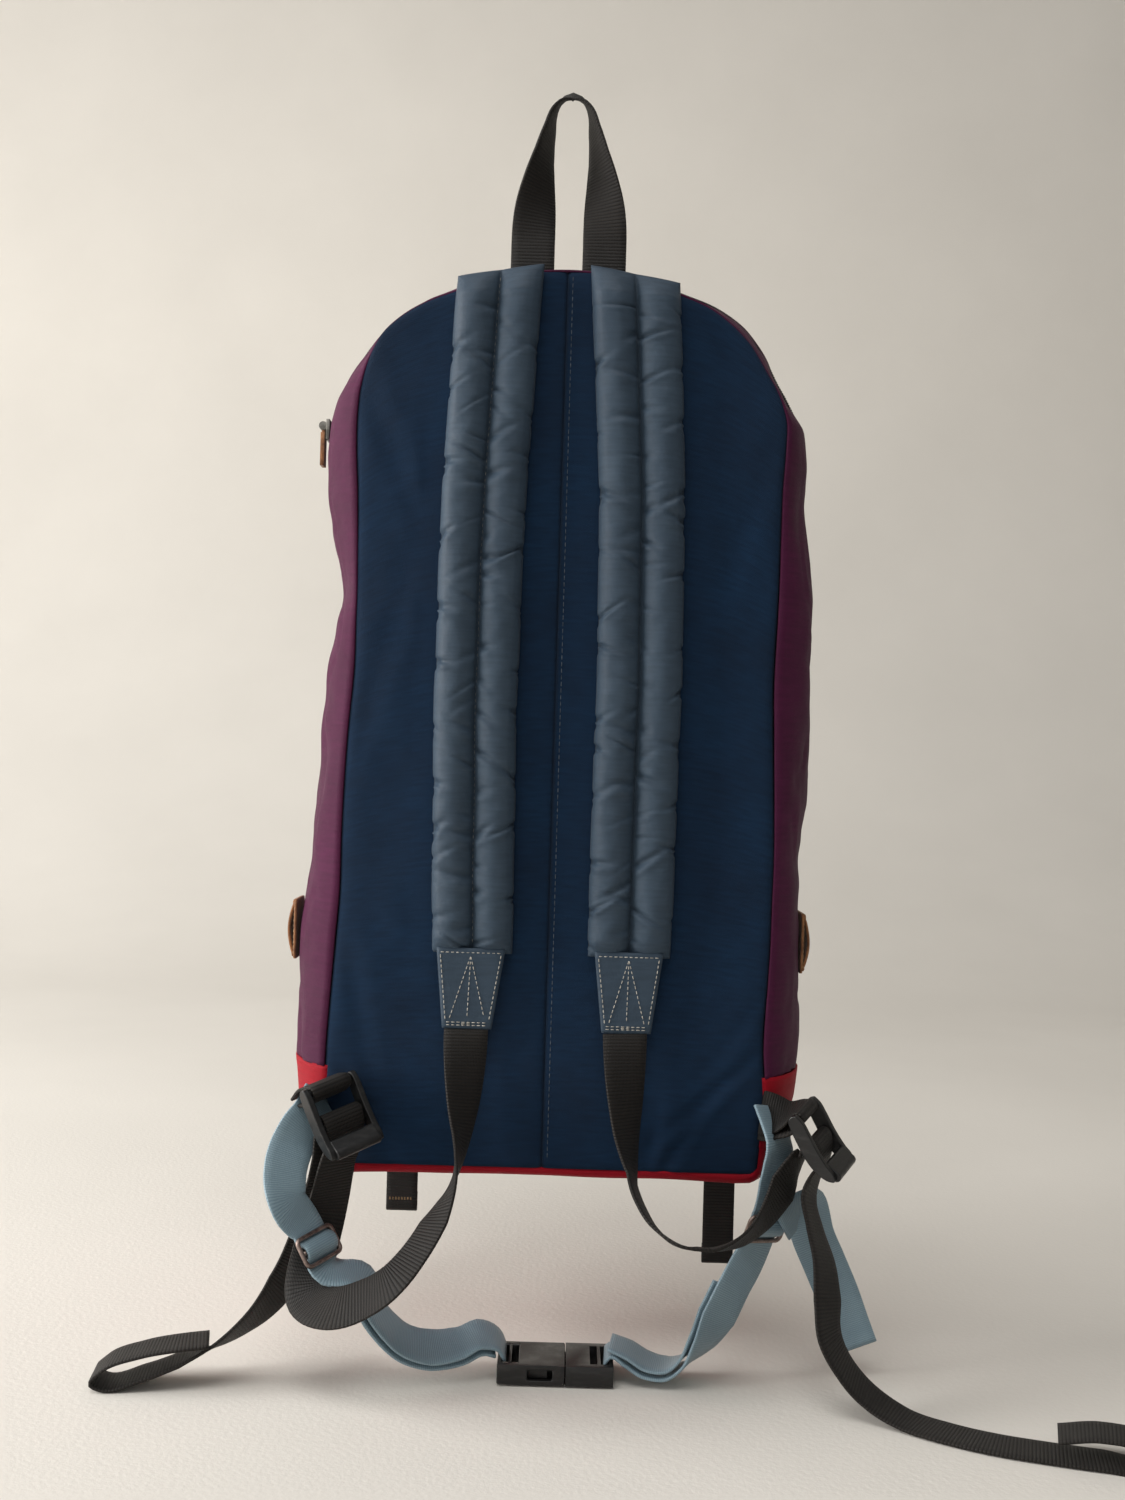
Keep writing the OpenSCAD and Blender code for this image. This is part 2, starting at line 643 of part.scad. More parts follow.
// the second layer lies a little off the first one's face, from the buckle back to the slider
return_gap = 4.2;
function beside(route, first, last, d) = [for (i = [first:last])
    let (t = tangent(route, i), w = side_of(route[i][1], t))
    [route[i][0] + cross(t, w) * d, w]];
return_route_left = beside(belt_route_left, 11, 18, -return_gap);
return_route_right = beside(belt_route_right, 1, 8, return_gap);
tail_belt_route = [
    [[136, -12, -630], [0.7, 0.55, -0.45]],
    [[142, -8, -625], [0.45, 0.5, -0.75]],
    [[151, 0, -622], [-0.3, 0.4, -0.85]],
    [[154, 7, -628], [-0.9, 0.1, -0.4]],
    [[157, 8, -640], [-0.9, 0, -0.4]],
    [[164, 5, -656], [-0.9, 0, -0.4]],
    [[172, 4, -674], [-0.95, 0, -0.35]],
    [[178, 3, -690], [-0.95, 0, -0.35]],
    [[183, 1, -703], [-0.95, 0, -0.35]]];

module belt_left() { color("#87a0aa") webbing(belt_route_left); }
module belt_right() { color("#87a0aa") webbing(belt_route_right); }
module belt_return_left() { color("#87a0aa") webbing(return_route_left); }
module belt_return_right() { color("#87a0aa") webbing(return_route_right); }
module belt_tail_right() { color("#87a0aa") webbing(tail_belt_route); }

glide_w = 31;
glide_h = 18;
glide_t = 2;
module tri_glide(f) {
    color("#9a9288")
        placed(f[0], f[1], f[2])
            translate([0, glide_t / 2, 0])
                rotate([90, 0, 0])
                    linear_extrude(glide_t)
                        difference() {
                            union() {
                                square([glide_w - 6, glide_h], center = true);
                                square([glide_w, glide_h - 6], center = true);
                                for (i = [-1, 1], j = [-1, 1])
                                    translate([i * (glide_w / 2 - 3), j * (glide_h / 2 - 3)])
                                        circle(3);
                            }
                            for (j = [-1, 1])
                                translate([-web_w / 2 - 0.8, j > 0 ? 1 : -7])
                                    square([web_w + 1.6, 6]);
                        }
}
module tri_glide_left() { tri_glide(glide_left); }
module tri_glide_right() { tri_glide(glide_right); }

// side-release buckle: its socket, its plug and two prongs pivoting in the plug
buckle_o = [-2.5, -7.5, -713.8];
buckle_w = 35;
buckle_t = 11;
socket_x = [-19, 19];
plug_x = [19.4, 46];
prong_pivot_x = 23;
prong_y = 9.8;
module buckle_socket() {
    color("#1a1a1a")
        translate(buckle_o)
            difference() {
                translate([socket_x[0], -buckle_w / 2, -buckle_t / 2])
                    cube([socket_x[1] - socket_x[0], buckle_w, buckle_t]);
                // cavity for the plug, open at its mouth
                translate([-6, -14.5, -3])
                    cube([30, 29, 6]);
                // side windows where the prongs are pressed
                for (s = [-1, 1])
                    translate([-2, s > 0 ? 12 : -20, -3])
                        cube([14, 8, 6]);
                // two strap slots leave a bar between them
                for (x = [-16.5, -11])
                    translate([x, -13.2, -10])
                        cube([3.8, 26.4, 20]);
            }
}
module buckle_plug() {
    color("#1a1a1a")
        translate(buckle_o)
            difference() {
                union() {
                    translate([plug_x[0], -buckle_w / 2, -buckle_t / 2])
                        cube([plug_x[1] - plug_x[0], buckle_w, buckle_t]);
                    // centre guide tongue
                    translate([-3, -2.5, -2.4])
                        cube([24, 5, 4.8]);
                }
                for (x = [33, 39])
                    translate([x, -13.2, -10])
                        cube([4.2, 26.4, 20]);
                // sockets that the prongs turn in
                for (s = [-1, 1]) {
                    translate([prong_pivot_x, s * prong_y, -3])
                        cylinder(h = 6, r = 3);
                    translate([18, s * prong_y - 4.6, -3])
                        cube([5, 9.2, 6]);
                }
            }
}
module buckle_prong(s) {
    color("#1a1a1a")
        translate(buckle_o) {
            translate([prong_pivot_x, s * prong_y, -2.6])
                cylinder(h = 5.2, r = 2.8);
            translate([2, s > 0 ? prong_y - 1.2 : -prong_y - 1.6, -2.6])
                cube([20, 2.8, 5.2]);
            translate([-2, s > 0 ? prong_y - 1.2 : -prong_y - 4.2, -2.6])
                cube([11, 5.4, 5.2]);
        }
}
module buckle_prong_near() { buckle_prong(-1); }
module buckle_prong_far() { buckle_prong(1); }

// ---------- lash straps under the boot ----------

lash_x = [-90, 114];
lash_y = 112;
lash_gap = 1.2;
module lash_strap(x, len) {
    top = bottom_z - lash_gap;
    color("#14120f")
        across_pack(lash_y - web_t / 2, web_t)
            translate([x - lash_w / 2, top - len])
                square([lash_w, len]);
    color("#14120f")
        across_pack(lash_y + web_t / 2, web_t)
            translate([x - lash_w / 2, top - len])
                square([lash_w, 12]);
}
module lash_strap_left() { lash_strap(lash_x[0], lash_len_left); }
module lash_strap_right() { lash_strap(lash_x[1], lash_len_right); }

back_panel_left();
back_panel_right();
back_pad();
back_lining();
rear_gusset();
side_panel_left();
side_panel_right();
front_panel();
bottom_boot();
divider_panel();
main_zip_rear_tape();
main_zip_front_tape();
pocket_zip_rear_tape();
pocket_zip_front_tape();
middle_gusset();
divider_top();
front_gusset();
front_panel_top();
main_zip_slider();
main_zip_pull();
pocket_zip_slider();
pocket_zip_pull();
lash_patch_left();
lash_patch_right();
haul_loop();
strap_cover_left();
strap_cover_right();
strap_lining_left();
strap_lining_right();
strap_foam_left();
strap_foam_right();
strap_tab_left();
strap_tab_right();
anchor_tab_left();
anchor_tab_right();
ladder_lock_left();
ladder_lock_right();
adjuster_left();
adjuster_right();
adjuster_tail_left();
adjuster_tail_right();
belt_left();
belt_right();
belt_return_left();
belt_return_right();
belt_tail_right();
tri_glide_left();
tri_glide_right();
buckle_socket();
buckle_plug();
buckle_prong_near();
buckle_prong_far();
lash_strap_left();
lash_strap_right();
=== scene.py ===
import math
import random

import bmesh
import bpy
import numpy as np
from mathutils import Matrix, Vector, noise


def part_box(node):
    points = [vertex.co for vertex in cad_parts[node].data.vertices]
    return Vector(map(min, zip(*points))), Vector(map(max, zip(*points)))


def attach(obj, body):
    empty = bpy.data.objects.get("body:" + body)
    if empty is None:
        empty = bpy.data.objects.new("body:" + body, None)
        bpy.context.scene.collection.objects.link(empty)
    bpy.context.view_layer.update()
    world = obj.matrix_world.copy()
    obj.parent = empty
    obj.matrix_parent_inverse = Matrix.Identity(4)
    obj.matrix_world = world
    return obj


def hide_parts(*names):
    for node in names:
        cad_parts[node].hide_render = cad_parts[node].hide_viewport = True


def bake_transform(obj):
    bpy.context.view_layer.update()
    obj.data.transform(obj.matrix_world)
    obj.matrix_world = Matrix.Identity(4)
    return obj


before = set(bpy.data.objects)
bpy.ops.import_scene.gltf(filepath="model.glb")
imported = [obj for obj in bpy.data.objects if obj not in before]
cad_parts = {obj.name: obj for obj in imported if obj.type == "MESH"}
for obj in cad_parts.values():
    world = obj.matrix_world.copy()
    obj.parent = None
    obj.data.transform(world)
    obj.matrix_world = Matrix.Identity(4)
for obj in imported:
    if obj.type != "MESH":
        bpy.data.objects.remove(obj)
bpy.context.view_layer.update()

MM = 0.001
scene = bpy.context.scene


# ---------- camera ----------

CAMERA_ROLL = math.radians(1.7)
CAMERA_PLACE = (0.0049, -0.886, -0.366)
LENS = 37.2
cam_data = bpy.data.cameras.new("camera")
cam_data.sensor_width = 36
cam_data.lens = LENS
camera = bpy.data.objects.new("camera", cam_data)
scene.collection.objects.link(camera)
camera.matrix_world = Matrix((
    (math.cos(CAMERA_ROLL), -math.sin(CAMERA_ROLL), 0, CAMERA_PLACE[0]),
    (0, 0, -1, CAMERA_PLACE[1]),
    (math.sin(CAMERA_ROLL), math.cos(CAMERA_ROLL), 0, CAMERA_PLACE[2]),
    (0, 0, 0, 1)))
scene.camera = camera
scene.view_settings.view_transform = "Standard"


# ---------- materials ----------

def rgb(r, g, b):
    """sRGB 0-255 to a linear colour."""
    lin = [((c / 255 + 0.055) / 1.055) ** 2.4 if c > 10 else c / 255 / 12.92 for c in (r, g, b)]
    return (*lin, 1)


class Mat:
    """A node material with short ways to add nodes."""

    def __init__(self, name, **shader):
        self.mat = bpy.data.materials.new(name)
        self.mat.use_nodes = True
        self.tree = self.mat.node_tree
        self.tree.nodes.clear()
        out = self.tree.nodes.new("ShaderNodeOutputMaterial")
        self.bsdf = self.tree.nodes.new("ShaderNodeBsdfPrincipled")
        self.tree.links.new(self.bsdf.outputs[0], out.inputs[0])
        for k, v in shader.items():
            self.bsdf.inputs[k.replace("_", " ")].default_value = v

    def put(self, node, key, value):
        if isinstance(value, bpy.types.NodeSocket):
            self.tree.links.new(value, node.inputs[key])
        elif value is not None:
            node.inputs[key].default_value = value

    def node(self, kind, out=0, **values):
        n = self.tree.nodes.new(kind)
        for k, v in values.items():
            self.put(n, k.replace("_", " "), v)
        return n.outputs[out]

    def math(self, op, a, b=None):
        n = self.tree.nodes.new("ShaderNodeMath")
        n.operation = op
        for i, v in enumerate((a, b)):
            self.put(n, i, v)
        return n.outputs[0]

    def mix(self, factor, a, b):
        n = self.tree.nodes.new("ShaderNodeMix")
        n.data_type = "RGBA"
        self.put(n, 0, factor)
        self.put(n, 6, a)
        self.put(n, 7, b)
        return n.outputs[2]

    def noise(self, vector, scale, detail=3.0, rough=0.55):
        return self.node("ShaderNodeTexNoise", Vector=vector, Scale=scale, Detail=detail,
                         Roughness=rough)

    def add(self, a, b):
        return self.math("ADD", a, b)

    def times(self, a, b):
        return self.math("MULTIPLY", a, b)

    def scaled(self, vector, sx, sy, sz):
        n = self.tree.nodes.new("ShaderNodeVectorMath")
        n.operation = "MULTIPLY"
        self.put(n, 0, vector)
        n.inputs[1].default_value = (sx, sy, sz)
        return n.outputs[0]

    def span(self, value, low, high, to_low=0.0, to_high=1.0):
        n = self.tree.nodes.new("ShaderNodeMapRange")
        for i, v in enumerate((value, low, high, to_low, to_high)):
            self.put(n, i, v)
        return n.outputs[0]

    def uv(self):
        uv = self.node("ShaderNodeTexCoord", out=2)
        s = self.tree.nodes.new("ShaderNodeSeparateXYZ")
        self.put(s, 0, uv)
        return uv, s.outputs[0], s.outputs[1]

    def place(self):
        return self.node("ShaderNodeTexCoord", out=3)

    def colour(self, socket):
        self.put(self.bsdf, "Base Color", socket)

    def rough(self, socket):
        self.put(self.bsdf, "Roughness", socket)

    def bump(self, height, distance, under=None):
        n = self.tree.nodes.new("ShaderNodeBump")
        self.put(n, "Height", height)
        n.inputs["Distance"].default_value = distance
        if under is not None:
            self.put(n, "Normal", under)
        self.put(self.bsdf, "Normal", n.outputs[0])
        return n.outputs[0]


def cloth_material(name, base, light, dark, weave, pitch, depth, roughness, sheen,
                   crease=0.0006, spec=0.3):
    """Woven cloth. weave is twill or plain, pitch, depth and crease are in metres, like the UVs."""
    m = Mat(name, Sheen_Weight=sheen, Sheen_Roughness=0.45, Specular_IOR_Level=spec)
    uv, u, v = m.uv()
    if weave == "twill":
        per_metre = 2 * math.pi / pitch
        phase = m.add(m.times(u, per_metre), m.times(v, per_metre * 1.6))
        wobble = m.times(m.noise(uv, 260, 2), 3.0)
        cord = m.math("SINE", m.add(phase, wobble))
        cross = m.math("SINE", m.times(v, 2 * math.pi / (pitch * 0.45)))
        height = m.add(m.times(cord, 0.35), m.times(cross, 0.15))
    else:
        a = m.math("SINE", m.times(u, 2 * math.pi / pitch))
        b = m.math("SINE", m.times(v, 2 * math.pi / pitch))
        height = m.times(m.times(a, b), 0.5)
    fine = m.noise(uv, 900, 2)
    slub = m.noise(m.scaled(uv, 1, 0.12, 1), 500, 3)
    cloudy = m.noise(uv, 14, 4, 0.6)
    tone = m.mix(m.span(cloudy, 0.3, 0.7), base, light)
    # Where the weave's height is low, in its grooves, the colour is mixed towards dark: painted
    # shade in the weave. The slub noise in the same mix adds random yarn tone.
    tone = m.mix(m.span(m.add(height, slub), 0.0, 1.0, 0.75, 0.0), tone, dark)
    m.colour(tone)
    m.rough(m.span(cloudy, 0.3, 0.7, roughness - 0.06, roughness + 0.06))
    big = m.bump(m.noise(m.scaled(uv, 1, 0.55, 1), 34, 5, 0.62), crease)
    thread = m.add(height, m.times(fine, 0.6))
    m.bump(thread, depth, big)
    return m.mat


def webbing_material(name, base, light, rib, width, depth, roughness, sheen, wear, spec=0.4):
    """Ribbed webbing: u along it and v across it, in metres, v from 0 to width."""
    m = Mat(name, Sheen_Weight=sheen, Sheen_Roughness=0.5, Specular_IOR_Level=spec)
    uv, u, v = m.uv()
    ribs = m.math("ABSOLUTE", m.math("SINE", m.times(u, math.pi / rib)))
    threads = m.math("ABSOLUTE", m.math("SINE", m.times(v, math.pi / 0.0009)))
    edge = m.math("ABSOLUTE", m.math("SUBTRACT", m.times(v, 2 / width), 1))
    selvedge = m.span(edge, 0.86, 0.98)
    fuzz = m.noise(uv, 1500, 3)
    stain = m.noise(m.scaled(uv, 1, 0.4, 1), 30, 4)
    # The ribs' crests are mixed towards light and their grooves keep base: painted highlight and
    # shade on the ribs, broken up by the stain noise, which stands for real stains.
    lit = m.times(ribs, m.span(stain, 0.3, 0.75, 0.35, 1.0))
    tone = m.mix(lit, base, light)
    tone = m.mix(m.times(m.times(selvedge, m.span(fuzz, 0.4, 0.7)), wear), tone, light)
    m.colour(tone)
    m.rough(m.span(stain, 0.3, 0.7, roughness - 0.05, roughness + 0.08))
    height = m.add(m.times(ribs, 0.8), m.times(threads, 0.35))
    m.bump(m.add(height, m.times(fuzz, 0.3)), depth)
    return m.mat


def leather_material():
    m = Mat("leather", Specular_IOR_Level=0.35, Sheen_Weight=0.1)
    at = m.place()
    grain = m.node("ShaderNodeTexVoronoi", Vector=at, Scale=900.0)
    cloudy = m.noise(at, 120, 5, 0.65)
    tone = m.mix(m.span(cloudy, 0.3, 0.7), rgb(96, 58, 32), rgb(164, 114, 74))
    m.colour(m.mix(m.span(grain, 0.0, 0.5, 0.35, 0.0), tone, rgb(58, 34, 20)))
    m.rough(m.span(cloudy, 0.3, 0.7, 0.5, 0.75))
    m.bump(grain, 0.00015, m.bump(m.noise(at, 400, 4), 0.0003))
    return m.mat


def plastic_material(name, tone, roughness):
    m = Mat(name, Specular_IOR_Level=0.5)
    at = m.place()
    grain = m.noise(at, 2600, 2)
    scuff = m.noise(m.scaled(at, 1, 1, 4), 90, 5, 0.7)
    m.colour(m.mix(m.span(scuff, 0.5, 0.75, 0, 0.35), tone, rgb(70, 68, 66)))
    m.rough(m.span(scuff, 0.35, 0.7, roughness, roughness + 0.22))
    m.bump(grain, 0.00004, m.bump(scuff, 0.0001))
    return m.mat


def metal_material(name, tone, dark, roughness):
    m = Mat(name, Metallic=0.85)
    at = m.place()
    scuff = m.noise(at, 220, 5, 0.7)
    m.colour(m.mix(m.span(scuff, 0.35, 0.7), dark, tone))
    m.rough(m.span(scuff, 0.3, 0.7, roughness, roughness + 0.25))
    m.bump(m.noise(at, 1500, 3), 0.00005)
    return m.mat


def thread_material(name, tone, dark):
    m = Mat(name, Specular_IOR_Level=0.3, Roughness=0.6, Sheen_Weight=0.2)
    at = m.place()
    m.colour(m.mix(m.span(m.noise(at, 700, 3), 0.35, 0.65), dark, tone))
    m.bump(m.noise(at, 4200, 2), 0.0001)
    return m.mat


NAVY = cloth_material("navy_twill", rgb(17, 42, 68), rgb(24, 54, 84), rgb(7, 18, 34),
                      "twill", 0.0011, 0.00022, 0.8, 0.02, 0.0006, 0.15)
SLATE = cloth_material("slate_taffeta", rgb(54, 70, 86), rgb(66, 83, 99), rgb(34, 46, 58),
                       "plain", 0.0006, 0.00006, 0.5, 0.04, 0.0014, 0.25)
PURPLE = cloth_material("purple_nylon", rgb(74, 20, 54), rgb(90, 28, 68), rgb(44, 10, 34),
                        "plain", 0.0007, 0.0001, 0.6, 0.02, 0.0018, 0.15)
RED = cloth_material("red_nylon", rgb(160, 5, 28), rgb(180, 12, 38), rgb(104, 3, 16),
                     "plain", 0.0007, 0.0001, 0.6, 0.02, 0.0016, 0.15)
LINING = cloth_material("grey_lining", rgb(60, 72, 84), rgb(78, 90, 100), rgb(36, 44, 52),
                        "plain", 0.0006, 0.0001, 0.6, 0.2)
TAPE = webbing_material("zip_tape", rgb(26, 26, 30), rgb(52, 52, 58),
                        0.0009, 0.008, 0.0001, 0.7, 0.2, 0.5)
BLACK = webbing_material("black_webbing", rgb(8, 7, 7), rgb(36, 31, 27),
                         0.0019, 0.025, 0.00035, 0.6, 0.02, 0.8, 0.3)
LASH = webbing_material("lash_webbing", rgb(8, 8, 8), rgb(30, 26, 23),
                        0.0019, 0.02, 0.00035, 0.6, 0.02, 0.8, 0.3)
BELT = webbing_material("belt_webbing", rgb(104, 128, 142), rgb(146, 168, 178),
                        0.0011, 0.025, 0.00016, 0.4, 0.1, 0.6)
LEATHER = leather_material()
PLASTIC = plastic_material("black_plastic", rgb(18, 18, 19), 0.3)
GLIDE = metal_material("glide_metal", rgb(168, 150, 142), rgb(112, 96, 90), 0.3)
STEEL = metal_material("slider_metal", rgb(150, 148, 142), rgb(84, 82, 78), 0.35)
COIL = plastic_material("zip_coil", rgb(30, 30, 34), 0.4)
THREAD = thread_material("pale_thread", rgb(196, 192, 182), rgb(140, 136, 128))
DARK_THREAD = thread_material("slate_thread", rgb(92, 104, 116), rgb(44, 54, 66))
TAN_THREAD = thread_material("tan_thread", rgb(170, 140, 100), rgb(110, 86, 56))


# ---------- mesh helpers (all lengths in mm until the mesh is made) ----------

def link(name, verts, faces, material, uvs=None):
    mesh = bpy.data.meshes.new(name)
    mesh.from_pydata([tuple(v) for v in np.asarray(verts, float) * MM], [], faces)
    if uvs is not None:
        layer = mesh.uv_layers.new(name="UVMap")
        layer.data.foreach_set("uv", (np.asarray(uvs, float) * MM).ravel().astype(np.float32))
    mesh.validate()
    mesh.update()
    for p in mesh.polygons:
        p.use_smooth = True
    obj = bpy.data.objects.new(name, mesh)
    scene.collection.objects.link(obj)
    mesh.materials.append(material)
    return obj


def distances(lines):
    """How far each of the lines is from the first, on average along them."""
    steps = np.linalg.norm(np.diff(lines, axis=0), axis=2).mean(1)
    return np.concatenate([[0], np.cumsum(steps)])


def lengths(points):
    """How far each point is along the line through them."""
    return np.concatenate([[0], np.cumsum(np.linalg.norm(np.diff(points, axis=0), axis=1))])


def grid(name, rows, material, ring=False, caps=False, flip=False, across=None):
    """A sheet or tube through rows of points. ring closes each row. UVs are distances in mm."""
    rows = np.asarray(rows, float)
    n, m = rows.shape[:2]
    along = distances(rows)
    if across is None:
        closed = np.concatenate([rows, rows[:, :1]], axis=1) if ring else rows
        across = distances(closed.transpose(1, 0, 2))
    faces, uvs = [], []
    for i in range(n - 1):
        for j in range(m if ring else m - 1):
            k = (j + 1) % m
            quad = [i * m + j, i * m + k, (i + 1) * m + k, (i + 1) * m + j]
            tex = [(along[i], across[j]), (along[i], across[j + 1]),
                   (along[i + 1], across[j + 1]), (along[i + 1], across[j])]
            if flip:
                quad.reverse()
                tex.reverse()
            faces.append(quad)
            uvs += tex
    if caps:
        for i, back in ((0, not flip), (n - 1, flip)):
            loop = [i * m + j for j in range(m)]
            tex = [(along[i], across[j]) for j in range(m)]
            if back:
                loop.reverse()
                tex.reverse()
            faces.append(loop)
            uvs += tex
    return link(name, rows.reshape(-1, 3), faces, material, uvs)


def settle(obj, body, slot_name, *nodes):
    """Puts a piece on its body in place of the CAD nodes that it stands for, and hides them.
    slot_name is not used.
    """
    if nodes:
        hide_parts(*nodes)
    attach(obj, body)
    return obj


def solid(obj, thickness, offset=-1):
    """Gives a sheet its thickness, in metres."""
    mod = obj.modifiers.new("thickness", "SOLIDIFY")
    mod.thickness = thickness
    mod.offset = offset
    return obj


def soften(obj, width, segments=2):
    """Rounds the edges of a hard piece, in metres."""
    weld = obj.modifiers.new("weld", "WELD")
    weld.merge_threshold = 0.000005
    bev = obj.modifiers.new("rounding", "BEVEL")
    bev.width, bev.segments = width, segments
    bev.limit_method, bev.angle_limit = "ANGLE", math.radians(35)
    bev.harden_normals = True
    for p in obj.data.polygons:
        p.use_smooth = True
    return obj


def unit(v):
    v = np.asarray(v, float)
    return v / np.linalg.norm(v)


def side_of(v, t):
    v, t = np.asarray(v, float), np.asarray(t, float)
    return unit(v - t * np.dot(v, t))


def tangent(p, i):
    if i == 0:
        return unit(p[1] - p[0])
    if i == len(p) - 1:
        return unit(p[i] - p[i - 1])
    u, v = p[i] - p[i - 1], p[i + 1] - p[i]
    r = np.linalg.norm(v) / np.linalg.norm(u)
    return unit(u * r + v / r)


def curve(points, step, extra=None):
    """Places every step mm or so on a smooth curve through the points, with extra values."""
    p = np.asarray(points, float)
    out, more = [], []
    for i in range(len(p) - 1):
        a, b = p[i], p[i + 1]
        d = np.linalg.norm(b - a)
        ta, tb = tangent(p, i), tangent(p, i + 1)
        k = max(2, int(math.ceil(d / step)))
        for f in np.arange(k) / k:
            g = 1 - f
            out.append(a * g * g * (1 + 2 * f) + ta * d * g * g * f
                       + b * f * f * (1 + 2 * g) - tb * d * f * f * g)
            if extra is not None:
                more.append(np.asarray(extra[i], float) * g + np.asarray(extra[i + 1], float) * f)
    out.append(p[-1])
    if extra is not None:
        more.append(np.asarray(extra[-1], float))
        return np.array(out), np.array(more)
    return np.array(out)


def tube(name, centres, radius, material, sides=8, ring=False):
    """A round tube along centres; ring closes it on itself."""
    c = np.asarray(centres, float)
    n = len(c)
    up = np.array([0.0, 0.0, 1.0])
    rows = []
    last = None
    for i in range(n):
        if ring or 0 < i < n - 1:
            t = unit(c[(i + 1) % n] - c[i - 1])
        else:
            t = unit(c[min(i + 1, n - 1)] - c[max(i - 1, 0)])
        first = up if abs(t[2]) < 0.9 else np.array([1.0, 0, 0])
        ref = first if last is None else last
        a = side_of(ref, t)
        last = a
        b = np.cross(t, a)
        turn = np.arange(sides) * 2 * math.pi / sides
        rows.append([c[i] + radius * (a * math.cos(q) + b * math.sin(q)) for q in turn])
    if ring:
        rows.append(rows[0])
    obj = grid(name, rows, material, ring=True, caps=not ring, flip=True)
    if ring:
        weld_now(obj)
    return obj


def weld_now(obj, distance=1e-6):
    bm = bmesh.new()
    bm.from_mesh(obj.data)
    bmesh.ops.remove_doubles(bm, verts=bm.verts, dist=distance)
    bmesh.ops.recalc_face_normals(bm, faces=bm.faces)
    bm.to_mesh(obj.data)
    bm.free()
    return obj


# along a stitch from 0 to 1, its share of the radius, and how far it rises in diameters
STITCH_PROFILE = ((0, 0.35, -0.25), (0.18, 0.9, 0.05), (0.5, 1, 0.15), (0.82, 0.9, 0.05),
                  (1, 0.35, -0.25))


def stitches(name, lines, material, length=2.3, gap=1.0, radius=0.28, sink=0.1):
    """Short threads along lines of 3-D points, each with the outward direction of its cloth."""
    verts, faces = [], []
    for pts, outward in lines:
        pts, out = np.asarray(pts, float), unit(outward)
        s = lengths(pts)
        start = 0.3
        while start + length < s[-1]:
            base = len(verts)
            a = np.array([np.interp(start, s, pts[:, k]) for k in range(3)])
            b = np.array([np.interp(start + length, s, pts[:, k]) for k in range(3)])
            t = unit(b - a)
            side = unit(np.cross(t, out))
            up = np.cross(side, t)
            for f, r, h in STITCH_PROFILE:
                c = a + (b - a) * f + up * (h * radius * 2 - sink * radius)
                for q in range(6):
                    w = q * math.pi / 3
                    verts.append(c + radius * r * (side * math.cos(w) + up * math.sin(w)))
            for i in range(4):
                for j in range(6):
                    k = (j + 1) % 6
                    low, high = base + i * 6, base + (i + 1) * 6
                    faces.append([low + j, low + k, high + k, high + j])
            faces.append([base + j for j in range(5, -1, -1)])
            faces.append([base + 24 + j for j in range(6)])
            start += length + gap
    return link(name, verts, faces, material)


# ---------- webbing ----------

def to_frame(f):
    """A lock's or glide's middle and its three directions: width, through and upright."""
    x = unit(f[1])
    z = side_of(f[2], x)
    return np.asarray(f[0], float), x, np.cross(z, x), z


def local(f, y, z):
    middle, _, through, upright = to_frame(f)
    return middle + through * y + upright * z


def lock_end(f, points):
    return [(local(f, *q), f[1]) for q in points]


def webbing(name, route, material, width=25.0, thick=1.8, step=3.0):
    """Flat webbing on a smooth route of (place, width direction), with rolled selvedges."""
    places, dirs = curve([r[0] for r in route], step, [unit(r[1]) for r in route])
    a, b = width / 2, thick / 2
    upper = [(-a + 0.12, b * 0.6), (-a + 0.5, b * 0.95), (-a * 0.62, b), (-a * 0.25, b * 0.96)]
    upper += [(-x, z) for x, z in upper[::-1]]
    ring = [(-a, 0)] + upper + [(a, 0)] + [(x, -z) for x, z in upper[::-1]]
    rows = []
    for i in range(len(places)):
        t = tangent(places, i)
        w = side_of(dirs[i], t)
        up = np.cross(t, w)
        rows.append([places[i] + w * q[0] + up * q[1] for q in ring])
    across = np.array([q[0] + a for q in ring] + [0], float)
    obj = grid(name, rows, material, ring=True, caps=True, across=across)
    weld_now(obj, 1e-7)
    return obj, places


# each fitting's middle, its width direction, and roughly its upright
LOCK_L = [[-120, -19, -558], [0.74, 0.63, 0.23], [-0.4, 0.2, 0.87]]
LOCK_R = [[147, -13, -566], [0.45, 0.87, 0.15], [-0.5, 0.1, 0.85]]
GLIDE_L = [[-121, -32, -643], [0.5, 0.86, 0.1], [-0.5, 0.2, 0.85]]
GLIDE_R = [[128, -7, -634], [0.8, 0.6, -0.15], [0.5, 0, 0.87]]
# how webbing lies round a fitting's bars, as (through, upright) from its middle
WRAP_R = 3.2
C45 = math.cos(math.radians(45))
WRAP_BACK = [[13, -21], [9, -18.5], [5, -15.2], [1.1, -13.8]]
WRAP_FRONT = [[0.9, -13.8], [1 - WRAP_R * C45, -17 + WRAP_R * C45], [-2.2, -17], [-1.6, -20.5],
              [0.5, -24.5], [4, -29]]
GLIDE_WEAVE = [[2.2, 11], [2.2, 6.5], [-2.2, 2], [-2.2, -2], [2.2, -6.5], [2.2, -11]]
